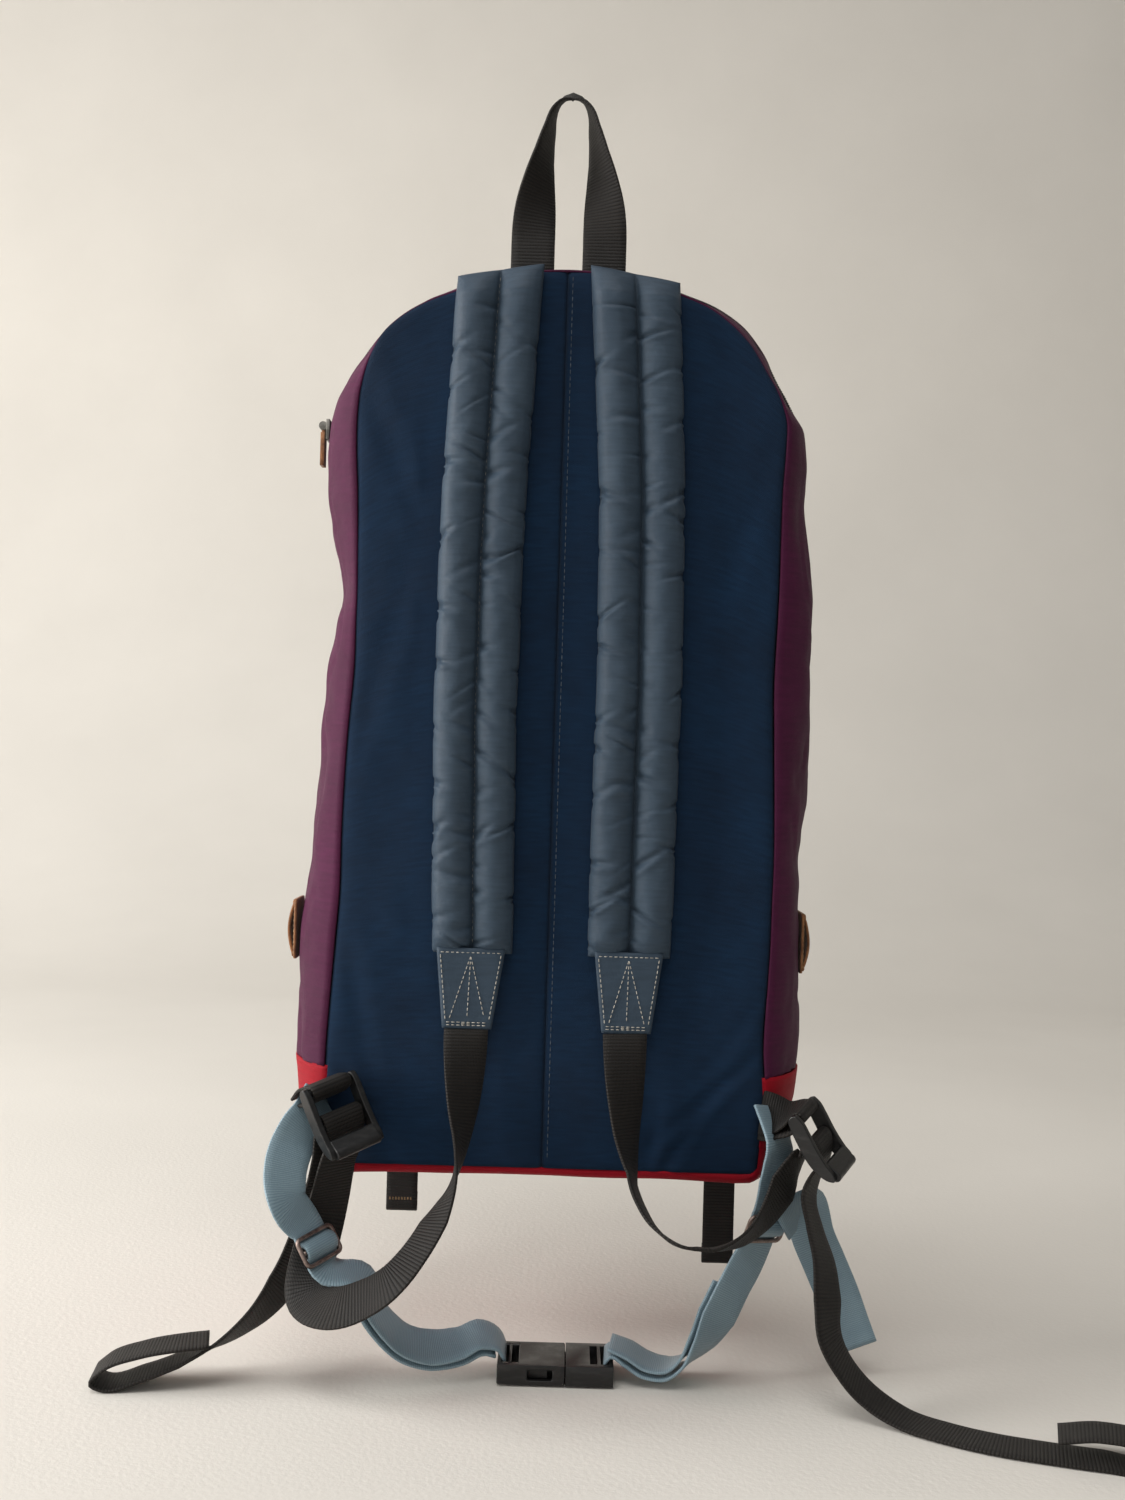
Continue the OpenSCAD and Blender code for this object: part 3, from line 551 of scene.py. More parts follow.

# Routes as (place, width direction). They repeat part.scad's, except that the belts' upper ends
# and the haul loop's feet run on into the seams. The places started as points read by eye in the
# photo, turned into mm by a separate script at depths chosen by hand, and were then moved by
# hand.
ADJUSTER_L = [
    ([-45, -8, -525.6], [1, 0, 0]), ([-45, -10, -545], [0.9, 0.4, -0.05]),
    ([-45, -14, -565], [0.7, 0.7, -0.2]), ([-45.5, -20, -585], [0.3, 0.85, -0.4]),
    ([-47, -28, -598], [0, 0.8, -0.6]), ([-51, -40, -611], [-0.4, 0.75, -0.5]),
    ([-57, -50, -623], [-0.6, 0.75, -0.2]), ([-67, -60, -638], [-0.55, 0.8, 0]),
    ([-79, -66, -651], [-0.35, 0.85, 0.35]), ([-92, -62, -661], [0.1, 0.7, 0.7]),
    ([-109, -57, -668], [0.45, 0.5, 0.7]), ([-124, -43, -668], [0.8, 0.25, 0.5]),
    ([-125, -21, -650], [0.9, 0.4, 0.1]), ([-121, -12, -632], [0.85, 0.5, -0.1]),
    ([-117, -16, -614], [0.75, 0.65, -0.1]),
    ([-114, -20, -600], [0.7, 0.7, -0.05])] + lock_end(LOCK_L, WRAP_FRONT[::-1])
ADJUSTER_R = [
    ([45, -8, -525.6], [1, 0, 0]), ([45.5, -11, -545], [0.95, 0.35, 0]),
    ([46.5, -14, -567], [0.75, 0.65, -0.05]), ([48, -18, -588], [0.5, 0.85, -0.25]),
    ([50.5, -26, -603], [0.25, 0.85, -0.5]), ([55, -36, -614], [0.35, 0.75, -0.55]),
    ([63, -46, -624], [0.3, 0.85, -0.45]), ([76, -52, -631], [0.05, 0.95, -0.3]),
    ([90, -50, -633], [-0.3, 0.95, -0.25]), ([103, -44, -632], [-0.3, 0.8, -0.5]),
    ([115, -37, -628], [-0.1, 0.7, -0.7]), ([126, -29, -619], [0.25, 0.65, -0.75]),
    ([135, -21, -607], [0.5, 0.5, -0.7]),
    ([141, -15, -598], [0.4, 0.7, -0.5])] + lock_end(LOCK_R, WRAP_BACK)
TAIL_L = lock_end(LOCK_L, WRAP_BACK[::-1]) + [
    ([-119, -13, -598], [0.7, 0.7, -0.05]), ([-122, -10, -613], [0.7, 0.7, -0.1]),
    ([-128, -4, -630], [0.65, 0.75, -0.2]), ([-134, -3, -649], [0.55, 0.75, -0.4]),
    ([-145, -12, -673], [0.45, 0.7, -0.6]), ([-161, -25, -690], [0.05, 0.85, -0.55]),
    ([-176, -30, -700], [-0.05, 0.95, -0.35]), ([-195, -33, -707.5], [-0.15, 1, -0.05]),
    ([-215, -36, -714.5], [-0.1, 1, 0]), ([-236, -38, -718.8], [-0.1, 1, 0]),
    ([-241, -38.5, -716], [-0.1, 1, 0]), ([-236, -38.5, -709.5], [-0.1, 1, 0]),
    ([-215, -37, -701], [-0.1, 1, 0]), ([-195, -35, -697.5], [-0.15, 1, 0]),
    ([-180, -32, -696.5], [-0.2, 1, 0])]
TAIL_R = lock_end(LOCK_R, WRAP_FRONT) + [
    ([154, -14, -602], [0.35, 0.9, -0.3]), ([150.5, -17, -612], [0.45, 0.85, -0.35]),
    ([153, -24, -627], [0.5, 0.8, -0.35]), ([157, -34, -643], [0.6, 0.75, -0.3]),
    ([158, -42, -661], [0.7, 0.7, -0.2]), ([159, -46, -679], [0.6, 0.8, 0]),
    ([167, -48, -695], [0.4, 0.9, 0.15]), ([180, -50, -709], [0.4, 0.9, 0.1]),
    ([197, -58, -717.5], [0.5, 0.85, 0]), ([217, -71, -719], [0.5, 0.85, 0]),
    ([240, -83, -719], [0.4, 0.9, 0]), ([264, -91, -719], [0.3, 0.95, 0]),
    ([290, -98, -719], [0.25, 0.95, 0]), ([314, -103, -718.9], [0.2, 0.95, 0]),
    ([319, -104, -715], [0.25, 0.95, 0]), ([312, -102, -709], [0.3, 0.95, 0]),
    ([290, -95, -706], [0.3, 0.95, 0]), ([270, -89, -710], [0.3, 0.95, 0])]
BELT_L = [
    ([-127, 1, -568], [0.7, 0.5, -0.4]), ([-131, -8, -577], [0.8, 0.4, -0.4]),
    ([-136, -12, -583], [0.8, 0.4, -0.3]), ([-140, -17, -592], [0.8, 0.5, 0.3]),
    ([-142, -26, -605], [0.8, 0.6, 0.1]),
    ([-139, -34, -618], [0.65, 0.75, 0.1])] + lock_end(GLIDE_L, GLIDE_WEAVE) + [
    ([-97, -27, -662], [0.4, 0.9, 0]), ([-90, -29, -677], [0.3, 0.95, -0.1]),
    ([-82, -27, -688], [0.2, 0.95, 0.1]), ([-73, -23, -697], [0.1, 0.95, 0.3]),
    ([-59, -19, -702], [0, 0.9, 0.45]), ([-44, -15, -701], [0, 0.9, 0.4]),
    ([-31, -11, -697], [0, 0.95, 0.3]), ([-21.5, -8, -701], [0, 1, 0.1]),
    ([-17.5, -7.5, -708], [0, 1, 0])]
BELT_R = [
    ([39, -7.5, -708.5], [0, 1, 0]), ([43, -8, -704.5], [0.1, 1, 0]),
    ([51, -9, -708], [0.15, 1, 0.05]), ([62, -11, -713.5], [0.2, 1, 0.05]),
    ([74, -13, -714.5], [0.15, 1, 0]), ([85, -14, -709], [0.25, 0.95, -0.2]),
    ([94, -15, -698], [0.55, 0.8, -0.35]), ([102, -14.5, -683], [0.75, 0.5, -0.45]),
    ([110, -12, -667], [0.7, 0.5, -0.55])] \
    + lock_end(GLIDE_R, GLIDE_WEAVE[::-1]) + [
        ([133, -10, -606], [0.85, 0.55, -0.05]), ([134, -10, -594], [0.75, 0.65, 0]),
        ([133.5, -10, -583], [0.6, 0.8, 0.05]), ([131, -5, -573.5], [0.55, 0.8, 0.1]),
        ([128, 0, -566], [0.5, 0.8, 0.1])]
BELT_TAIL_R = [
    ([136, -12, -630], [0.7, 0.55, -0.45]), ([142, -8, -625], [0.45, 0.5, -0.75]),
    ([151, 0, -622], [-0.3, 0.4, -0.85]), ([154, 7, -628], [-0.9, 0.1, -0.4]),
    ([157, 8, -640], [-0.9, 0, -0.4]), ([164, 5, -656], [-0.9, 0, -0.4]),
    ([172, 4, -674], [-0.95, 0, -0.35]), ([178, 3, -690], [-0.95, 0, -0.35]),
    ([183, 1, -703], [-0.95, 0, -0.35])]
LOOP_HALF = [
    ([-20.5, 2.6, -95], [1, 0, 0]), ([-20.5, 3, -85.5], [1, 0, 0]), ([-20.5, 3, -74], [1, 0, 0]),
    ([-20, 3, -60], [0.95, 0.3, 0]), ([-18, 3, -42], [0.7, 0.7, 0]),
    ([-15.5, 3, -26], [0.4, 0.9, 0]), ([-12.8, 3, -12], [0.2, 1, 0]),
    ([-9.6, 3, 0], [0.1, 0.95, 0.3]), ([-5.4, 3, 6.2], [0, 0.9, 0.45])]
LOOP = LOOP_HALF + [([0, 3, 8.5], [0, 0.85, 0.5])]
LOOP += [([-p[0], p[1], p[2]], [-d[0], d[1], d[2]]) for p, d in LOOP_HALF[::-1]]


def beside(route, first, last, d):
    """Part of a route again, d mm to one side of it."""
    p = np.array([r[0] for r in route], float)
    out = []
    for i in range(first, last + 1):
        t = tangent(p, i)
        w = side_of(route[i][1], t)
        out.append((p[i] + np.cross(t, w) * d, w))
    return out


def anchor_route(f, front, back):
    """From the corner seam to the lock's upper bar, round it and back to the seam."""
    angles = [math.radians(a) for a in range(90, -91, -30)]
    turn = [(local(f, -WRAP_R * math.cos(a), WRAP_R * math.sin(a)), f[1]) for a in angles]
    return front + turn + back


def free_strap(name, node, route, material, slot_name, exit_first=True, far_end="object",
               stiffness="limp", lay="hanging"):
    obj, places = webbing(name, route, material)
    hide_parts(node)
    middle_line = curve([r[0] for r in route], 3.0)
    return obj


def black_strap(name, node, route, **facts):
    return free_strap(name, node, route, BLACK, "black_webbing", **facts)


def belt_strap(name, node, route, **facts):
    return free_strap(name, node, route, BELT, "belt_webbing", **facts)


obj = black_strap("adjuster_strap_left", "adjuster_left", ADJUSTER_L)
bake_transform(obj)
obj = black_strap("adjuster_strap_right", "adjuster_right", ADJUSTER_R)
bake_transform(obj)
obj = black_strap("adjuster_tail_strap_left", "adjuster_tail_left", TAIL_L,
                  far_end="bare", lay="loose")
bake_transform(obj)
obj = black_strap("adjuster_tail_strap_right", "adjuster_tail_right", TAIL_R,
                  far_end="bare", lay="loose")
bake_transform(obj)
obj = belt_strap("waist_belt_left", "belt_left", BELT_L)
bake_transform(obj)
obj = belt_strap("waist_belt_right", "belt_right", BELT_R, exit_first=False)
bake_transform(obj)
obj = belt_strap("waist_belt_return_left", "belt_return_left", beside(BELT_L, 12, 19, -4.2))
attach(obj, "waist_belt")
obj = belt_strap("waist_belt_return_right", "belt_return_right", beside(BELT_R, 1, 8, 4.2),
                 exit_first=False)
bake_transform(obj)
obj = belt_strap("waist_belt_tail", "belt_tail_right", BELT_TAIL_R, far_end="bare")
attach(obj, "waist_belt")
obj = black_strap("haul_loop_strap", "haul_loop", LOOP, stiffness="medium", lay="taut")
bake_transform(obj)

ANCHORS = {
    "left": anchor_route(
        LOCK_L,
        [(local(LOCK_L, 25, 2.5), LOCK_L[1]), (local(LOCK_L, 13, 5), LOCK_L[1])],
        [(local(LOCK_L, 13, -4), LOCK_L[1]), (local(LOCK_L, 25, -1), LOCK_L[1])]),
    "right": anchor_route(
        LOCK_R,
        [([125, 1.5, -570], [0.12, 0.1, 1]), ([129, -3, -570], [0.3, 0.35, 0.9]),
         ([136, -7.5, -569], [0.5, 0.7, 0.6])],
        [([136, -7.5, -573.5], [0.5, 0.7, 0.6]), ([129, -2, -573.5], [0.3, 0.35, 0.9]),
         ([125, 3, -573.5], [0.12, 0.1, 1])])}
for side, route in ANCHORS.items():
    tab, _ = webbing("anchor_strap_" + side, route, BLACK, step=1.5)
    settle(tab, "pack", "black_webbing", "anchor_tab_" + side)


# ---------- pack outline ----------

# The back panel's edge from the lower left corner over to the lower right, as (x, z, how far the
# side bulges past it). The places were read by eye in the photo, turned into mm by a separate
# script, then rounded and moved by hand.
OUTLINE = [
    (-124, -608, 15), (-125.5, -580, 20), (-125.5, -550, 23.5), (-123, -500, 25.5),
    (-121.5, -477, 27.5), (-120, -452, 26), (-120, -420, 23), (-119.5, -393, 21.5),
    (-118, -357, 21), (-115.5, -321, 21), (-115.6, -294, 16.5), (-115.6, -278, 12.5),
    (-115.8, -262, 15.5), (-116, -242, 20), (-116.5, -222, 23), (-118, -194, 22),
    (-118, -178, 21.8), (-116.5, -160, 18), (-112.5, -144, 15), (-105, -130, 13),
    (-94, -119.5, 14), (-80, -111, 15), (-64, -104.5, 16), (-45, -97.5, 16), (-25, -93, 15),
    (0, -91, 15), (25, -92.5, 15), (45, -96, 15.5), (67, -103.5, 16), (82, -110, 17),
    (94, -118.5, 18), (106, -131, 16), (117, -148, 14), (124, -160, 14), (128, -174, 15),
    (128, -190, 18), (126.8, -212, 18.5), (126.3, -240, 22), (126, -270, 26), (125.5, -289, 27),
    (124.5, -326, 28), (125.5, -360, 27), (127, -400, 24), (127.7, -426, 20), (127.3, -452, 21.5),
    (127, -477, 22), (126, -500, 24), (124.5, -531, 28), (126.5, -566, 23), (124.5, -590, 18),
    (123, -608, 14)]
EDGE_STEP = 2.5
edge_curve = curve([(x, z, 0) for x, z, _ in OUTLINE], EDGE_STEP, [(d,) for _, _, d in OUTLINE])
EDGE = edge_curve[0][:, :2]
BULGE = edge_curve[1][:, 0]
heading = np.gradient(EDGE, axis=0)
heading /= np.linalg.norm(heading, axis=1)[:, None]
OUT = np.stack([-heading[:, 1], heading[:, 0]], 1)
SMOOTHINGS = 6
for _ in range(SMOOTHINGS):
    OUT[1:-1] = (OUT[:-2] + OUT[1:-1] * 2 + OUT[2:]) / 4
    BULGE[1:-1] = (BULGE[:-2] + BULGE[1:-1] * 2 + BULGE[2:]) / 4
OUT /= np.linalg.norm(OUT, axis=1)[:, None]
FOLD_Z = -215.0
BOOT_TOP = -551.0
for level in (FOLD_Z - 0.2, FOLD_Z + 0.2, BOOT_TOP):
    crossings = [i for i in range(len(EDGE) - 1)
                 if (EDGE[i][1] - level) * (EDGE[i + 1][1] - level) < 0]
    for i in reversed(crossings):
        f = (level - EDGE[i][1]) / (EDGE[i + 1][1] - EDGE[i][1])
        EDGE = np.insert(EDGE, i + 1, EDGE[i] * (1 - f) + EDGE[i + 1] * f, axis=0)
        OUT = np.insert(OUT, i + 1, unit(OUT[i] * (1 - f) + OUT[i + 1] * f), axis=0)
        BULGE = np.insert(BULGE, i + 1, BULGE[i] * (1 - f) + BULGE[i + 1] * f)

PACK_DEPTH = 138.6
# how much of the bulge there is at each depth from the back
DEPTHS = np.array([0, 2, 6, 12, 20, 30, 40, 50, 62, 80, 95, 104, 113, 122, 130, 136, 138.4])
SHARES = np.array([-0.02, 0.06, 0.3, 0.52, 0.73, 0.9, 0.98, 1, 1, 0.98, 0.9, 0.8, 0.62, 0.35, 0.05,
                   -0.22, -0.38])


def share(y, i=None):
    """How much of the bulge there is at depth y; round the top it grows more slowly."""
    c = np.interp(y, DEPTHS, SHARES)
    if i is None or y > 55:
        return c
    top = min(1.0, max(0.0, (OUT[i][1] - 0.12) / 0.3))
    return c * (1 - top + top * (max(y, 0.0) / 55) ** 0.9)


def rough_noise(p, scale, seed=0.0):
    return noise.noise(Vector((p[0] * scale + seed, p[1] * scale, p[2] * scale)))


def folds(p, amount):
    """Soft folds down the cloth, in mm, and a few sharper creases."""
    a = rough_noise((p[0] * 0.4, p[1] * 2.2, p[2]), 0.02, 3.1)
    b = rough_noise((p[0], p[1] * 1.5, p[2] * 1.2), 0.05, 8.7)
    c = 1 - abs(rough_noise((p[0], p[1] * 1.8, p[2] * 0.7), 0.028, 1.3)) * 5
    return amount * (1.3 * a + 0.7 * b - 0.8 * max(0.0, c) ** 2)


def side_point(i, y, amount, lift=0.0):
    """The place on the pack's side at station i and depth y, with folds and a lift in mm."""
    c = share(y, i)
    p = EDGE[i] + OUT[i] * (BULGE[i] * c + lift)
    if amount:
        hold = min(1.0, max(0.0, (y - 3) / 14)) * min(1.0, max(0.0, (137 - y) / 12))
        near_patch = 1 - math.exp(-((p[1] + 477) / 26) ** 2) * math.exp(-((y - 48) / 20) ** 2)
        near_slider = 1 - math.exp(-((p[1] + 178) / 16) ** 2)
        f = folds((p[0], y, p[1]), amount) * hold * near_patch * near_slider
        p = p + OUT[i] * min(f, 1.0)
    return [p[0], y, p[1]]


def stations(test):
    """The places along the edge that pass a test."""
    return [i for i in range(len(EDGE)) if test(EDGE[i])]


ARCH = stations(lambda e: e[1] > FOLD_Z + 0.1)
LEFT = stations(lambda e: e[0] < 0 and BOOT_TOP - 0.1 < e[1] < FOLD_Z - 0.1)
RIGHT = stations(lambda e: e[0] > 0 and BOOT_TOP - 0.1 < e[1] < FOLD_Z - 0.1)
ROUND = stations(lambda e: e[1] > BOOT_TOP - 0.1)


def shell(name, picked, y0, y1, body, node, amount):
    ys = np.linspace(y0, y1, max(3, int((y1 - y0) / SHELL_STEP) + 1))
    obj = grid(name, [[side_point(i, y, amount) for y in ys] for i in picked], PURPLE)
    settle(solid(obj, CLOTH, 1), body, "pack_cloth", node)


SHELL_STEP = 3.0
CLOTH = 0.0012
shell("rear_gusset_cloth", ROUND, 1.6, 43, "pack", "rear_gusset", 1.5)
shell("middle_gusset_cloth", ARCH, 53, 99, "main_flap", "middle_gusset", 0.6)
shell("front_gusset_cloth", ARCH, 109, PACK_DEPTH, "front_flap", "front_gusset", 0.6)
shell("side_cloth_left", LEFT, 43, PACK_DEPTH, "pack", "side_panel_left", 1.5)
shell("side_cloth_right", RIGHT, 43, PACK_DEPTH, "pack", "side_panel_right", 1.5)


# ---------- zips round the arch ----------

def zip_half(name, y, side, body, node):
    """A tape under the cloth's edge and the coil along it."""
    ys = [y - side * t for t in (0.6, 1.6, 3, 4.6, 6.5)]
    rows = [[side_point(i, q, 0, -1.3) for q in ys] for i in ARCH]
    tape = grid(name, rows, TAPE, flip=side < 0)
    settle(solid(tape, 0.0006, 0), body, "zip_tape", node)
    pts = np.array([side_point(i, y - side * 1.0, 0, -0.6) for i in ARCH])
    s = lengths(pts)
    turns = []
    pitch, per_turn = 1.6, 8
    for k in range(int(s[-1] / pitch * per_turn)):
        d = k * pitch / per_turn
        a = k * math.pi / 4
        c = np.array([np.interp(d, s, pts[:, q]) for q in range(3)])
        i = min(len(ARCH) - 1, int(np.searchsorted(s, d)))
        o = np.array([OUT[ARCH[i]][0], 0, OUT[ARCH[i]][1]])
        turns.append(c + o * 0.6 * math.sin(a) + np.array([0, 0.9 * math.cos(a), 0]))
    coil = tube(name + "_coil", turns, 0.32, COIL, sides=4)
    settle(coil, body, "zip_tape")


zip_half("main_zip_rear", 48, 1, "pack", "main_zip_rear_tape")
zip_half("main_zip_front", 48, -1, "main_flap", "main_zip_front_tape")
zip_half("pocket_zip_rear", 104, 1, "main_flap", "pocket_zip_rear_tape")
zip_half("pocket_zip_front", 104, -1, "front_flap", "pocket_zip_front_tape")


# ---------- flat panels ----------

def resample(points, n):
    points = np.asarray(points, float)
    s = lengths(points)
    even = np.linspace(0, s[-1], n)
    return np.stack([np.interp(even, s, points[:, k]) for k in range(points.shape[1])], 1)


def patch(left, top, right, bottom, nu, nv):
    """nv rows and nu columns between four edges, which run left to right or top down."""
    L, R = resample(left, nv), resample(right, nv)
    T, B = resample(top, nu), resample(bottom, nu)
    u, v = np.linspace(0, 1, nu)[None, :, None], np.linspace(0, 1, nv)[:, None, None]
    P = (1 - v) * T[None] + v * B[None] + (1 - u) * L[:, None] + u * R[:, None]
    corners = (1 - u) * (1 - v) * L[0] + u * (1 - v) * R[0] + (1 - u) * v * L[-1] + u * v * R[-1]
    return P - corners


CORNER_L = int(np.argmin(np.linalg.norm(EDGE - np.array([-105, -130]), axis=1)))
CORNER_R = int(np.argmin(np.linalg.norm(EDGE - np.array([106, -131]), axis=1)))


def inside(grow, z_low, nu, nv, grow_bulge=0.0):
    """The region inside the outline down to z_low, grown by grow mm and grow_bulge bulges."""
    ring = EDGE + OUT * (grow + grow_bulge * BULGE)[:, None]
    keep = [i for i in range(len(ring)) if ring[i][1] > z_low]
    left = [ring[i] for i in keep if i <= CORNER_L]
    right = [ring[i] for i in keep if i >= CORNER_R]
    top = ring[CORNER_L:CORNER_R + 1]
    left = np.array([[left[0][0], z_low]] + left)[::-1]
    right = np.array(right + [[right[-1][0], z_low]])
    bottom = np.array([left[-1], right[-1]])
    return patch(left, top, right, bottom, nu, nv)


def below(grow_bulge, z_high, z_low, nu, nv):
    """The region between the outline's two sides from z_high down to z_low."""
    ring = EDGE + OUT * (grow_bulge * BULGE)[:, None]
    level = [(r, e) for r, e in zip(ring, EDGE) if z_low - 2 < e[1] < z_high + 2]
    left = np.array([r for r, e in level if e[0] < 0])[::-1]
    right = np.array([r for r, e in level if e[0] > 0])
    zs = np.linspace(z_high, z_low, nv)
    L = np.stack([np.interp(-zs, -left[:, 1], left[:, 0]), zs], 1)
    R = np.stack([np.interp(-zs, -right[:, 1], right[:, 0]), zs], 1)
    return patch(L, [L[0], R[0]], R, [L[-1], R[-1]], nu, nv)


def flat_piece(name, region, depth, body, slot_name, nodes, material, thick=CLOTH, flip=False):
    rows = [[[q[0], depth(q[0], q[1], i, j), q[1]] for j, q in enumerate(row)]
            for i, row in enumerate(region)]
    obj = grid(name, rows, material, flip=flip)
    settle(solid(obj, thick), body, slot_name, *nodes)


BACK_NU, BACK_NV = 121, 221
BACK = inside(0, -605.5, BACK_NU, BACK_NV)
for row in BACK:  # the middle column is the centre seam, and it is straight
    row[:, 0] -= row[BACK_NU // 2, 0] * (1 - abs(np.linspace(-1, 1, BACK_NU)))


# each crease's middle x and z, its direction, its width, its height and its reach
CREASES = (
    (96, -560, 0.75, 0.66, 4, 1.5, 46), (78, -590, 0.5, 0.86, 4, 1.2, 34),
    (112, -520, 0.6, 0.8, 5, 1.0, 40), (60, -598, 0.2, 0.98, 4, 1.0, 26),
    (-96, -585, -0.55, 0.83, 5, 1.1, 34), (-108, -520, -0.2, 0.98, 6, 0.8, 50),
    (104, -240, 0.35, 0.93, 7, 0.8, 60), (-98, -200, -0.4, 0.91, 7, 0.8, 60),
    (-104, -330, 0.25, 0.97, 7, 0.7, 70))


def back_depth(x, z, i, j):
    """How deep the back panel lies at a place, which is row i and column j of its grid."""
    edge = min(j, BACK_NU - 1 - j) * 2.0
    top = i * 2.3
    low = (BACK_NV - 1 - i) * 2.3
    rim = 2.3 * math.exp(-min(edge, top) / 3.0) + 0.6 * math.exp(-low / 4.0)
    seam = 1.3 * math.exp(-abs(x) / 1.6) + 0.5 * math.exp(-abs(x) / 8)
    if z > -490:
        free = min(1.0, max(0.0, (abs(x) - 72) / 14))
    else:
        free = min(1.0, max(0.25, (abs(x) - 20) / 40))
    hollow = 0.8 * rough_noise((x, 0, z * 0.6), 0.018, 5) + 0.5 * rough_noise((x, 0, z), 0.05, 9)
    crease = 0.0
    for cx, cz, dx, dz, w, a, l in CREASES:
        d = (x - cx) * dz - (z - cz) * dx
        s = (x - cx) * dx + (z - cz) * dz
        across = math.exp(-(d / w) ** 2) - 0.6 * math.exp(-((d - w * 1.7) / w) ** 2)
        crease += a * across * math.exp(-(s / l) ** 2)
    soft = (hollow * 1.4 + crease) * free * (1 - math.exp(-edge / 6)) * (1 - math.exp(-top / 6))
    return 0.15 + rim + seam + max(-1.6, min(1.5, soft)) * (1 if free > 0.6 else 0.6)


def rim(i, *gaps, reach=8):
    """From 0 at a piece's edges to 1 at reach rows or columns in from them."""
    return min(1, min(i, *gaps) / reach)


half = (BACK_NU + 1) // 2
flat_piece("back_panel_cloth_left", BACK[:, :half], back_depth,
           "pack", "back_cloth", ["back_panel_left"], NAVY, flip=True)
flat_piece("back_panel_cloth_right", BACK[:, half - 1:],
           lambda x, z, i, j: back_depth(x, z, i, j + half - 1),
           "pack", "back_cloth", ["back_panel_right"], NAVY, flip=True)
flat_piece("back_lining_cloth", inside(-6, -602, 31, 61),
           lambda x, z, i, j: 8.6 + 0.5 * rough_noise((x, 0, z), 0.03, 2),
           "pack", "lining_cloth", ["back_lining", "back_pad"], LINING, 0.0008)
flat_piece("front_top_cloth", inside(0, FOLD_Z + 0.5, 61, 61, grow_bulge=-0.38),
           lambda x, z, i, j: 138.7 + 1.6 * rim(i, j, 60 - j)
           + 0.7 * rough_noise((x, 0, z), 0.03, 4) * rim(i, j, 60 - j),
           "front_flap", "pack_cloth", ["front_panel_top"], PURPLE)
flat_piece("front_cloth", below(-0.38, FOLD_Z - 0.5, BOOT_TOP - 1, 81, 101),
           lambda x, z, i, j: 138.7 + 1.4 * rim(j, 80 - j)
           + folds((x * 0.8, x * 0.5, z), 1.9) * rim(i + 1, j, 80 - j, reach=10),
           "pack", "pack_cloth", ["front_panel"], PURPLE)
flat_piece("divider_cloth", below(0.82, FOLD_Z - 0.5, -608, 41, 61),
           lambda x, z, i, j: 78.4 + 1.2 * rough_noise((x, 0, z), 0.02, 6),
           "pack", "lining_cloth", ["divider_panel"], LINING, 0.0008)
flat_piece("divider_top_cloth", inside(0, FOLD_Z + 0.5, 41, 41, grow_bulge=0.78),
           lambda x, z, i, j: 78.4 + 1.0 * rough_noise((x, 0, z), 0.02, 6),
           "main_flap", "lining_cloth", ["divider_top"], LINING, 0.0008)


def piping(name, picked, body):
    """A round seam along the front panel's edge."""
    pts = [EDGE[i] - OUT[i] * BULGE[i] * 0.38 for i in picked]
    settle(tube(name, [[p[0], 138.9, p[1]] for p in pts], 1.5, PURPLE), body, "pack_cloth")


piping("front_piping_top", ARCH, "front_flap")
piping("front_piping_left", LEFT, "pack")
piping("front_piping_right", RIGHT, "pack")


# ---------- boot ----------

def edge_near(side, z):
    """The station nearest to height z on the left (-1) or right (1) side, low on the pack."""
    low = [k for k in range(len(EDGE)) if EDGE[k][0] * side > 0 and EDGE[k][1] < -400]
    return low[int(np.argmin(abs(np.array([EDGE[k][1] for k in low]) - z)))]


def boot_ring(z, inset):
    """The boot's plan at height z: the left side, the front, the right side and the back."""
    level = max(-606.0, z)
    ring = []
    for side, ys in ((-1, np.linspace(2.5, 138.4, 36)), (1, np.linspace(138.4, 2.5, 36))):
        k = edge_near(side, level)
        ring += [[EDGE[k][0] + side * BULGE[k] * share(y), y] for y in ys]
        if side < 0:
            right_x = EDGE[edge_near(1, level)][0] - 8
            ring += [[x, 139.6] for x in np.linspace(ring[-1][0], right_x, 42)[1:-1]]
    ring += [[x, 1.6] for x in np.linspace(ring[-1][0], ring[0][0], 60)[1:-1]]
    ring = np.array(ring)
    if inset:
        d = ring - np.array([0, 70.0])
        reach = np.maximum(np.linalg.norm(d, axis=1), 1e-6)
        ring = np.array([0, 70.0]) + d * (1 - inset / reach)[:, None]
    return ring


# each ring's height, and how far it is drawn in towards the middle of the bottom
BOOT_RINGS = [(BOOT_TOP + 0.6, 0), (-553, 0), (-558, 0), (-566, 0), (-574, 0), (-582, 0), (-590, 0),
              (-597, 0), (-602, 0.4), (-606, 1.2), (-609, 2.8), (-611, 5.5), (-612, 10),
              (-612.6, 20), (-612.8, 40), (-612.6, 60)]
boot_rows = []
for z, inset in BOOT_RINGS:
    row = []
    for x, y in boot_ring(z, inset):
        p = (x, y, z)
        wob = 0.9 * rough_noise(p, 0.03, 11) + 0.5 * rough_noise(p, 0.08, 12)
        if z > -600 and 6 < y < 136:
            x += math.copysign(wob * 1.2, x)
        back = math.exp(-((y - 2) / 6) ** 2)
        if y < 12 and z > -606:
            corner = 1 if abs(x) < 118 else max(0.0, 1 - (abs(x) - 118) / 4)
            y += (9.5 - min(y, 9.5)) * min(1.0, (z + 606) / 5) * corner
        drop = -1.2 * rough_noise((x, 0, 0), 0.02, 14) * (1 if z < -604 else 0)
        row.append([x, y - (0.0 if z > -603 else 1.4) * back, z + drop])
    boot_rows.append(row)
boot = grid("boot_cloth", boot_rows, RED, ring=True)
bm = bmesh.new()
bm.from_mesh(boot.data)
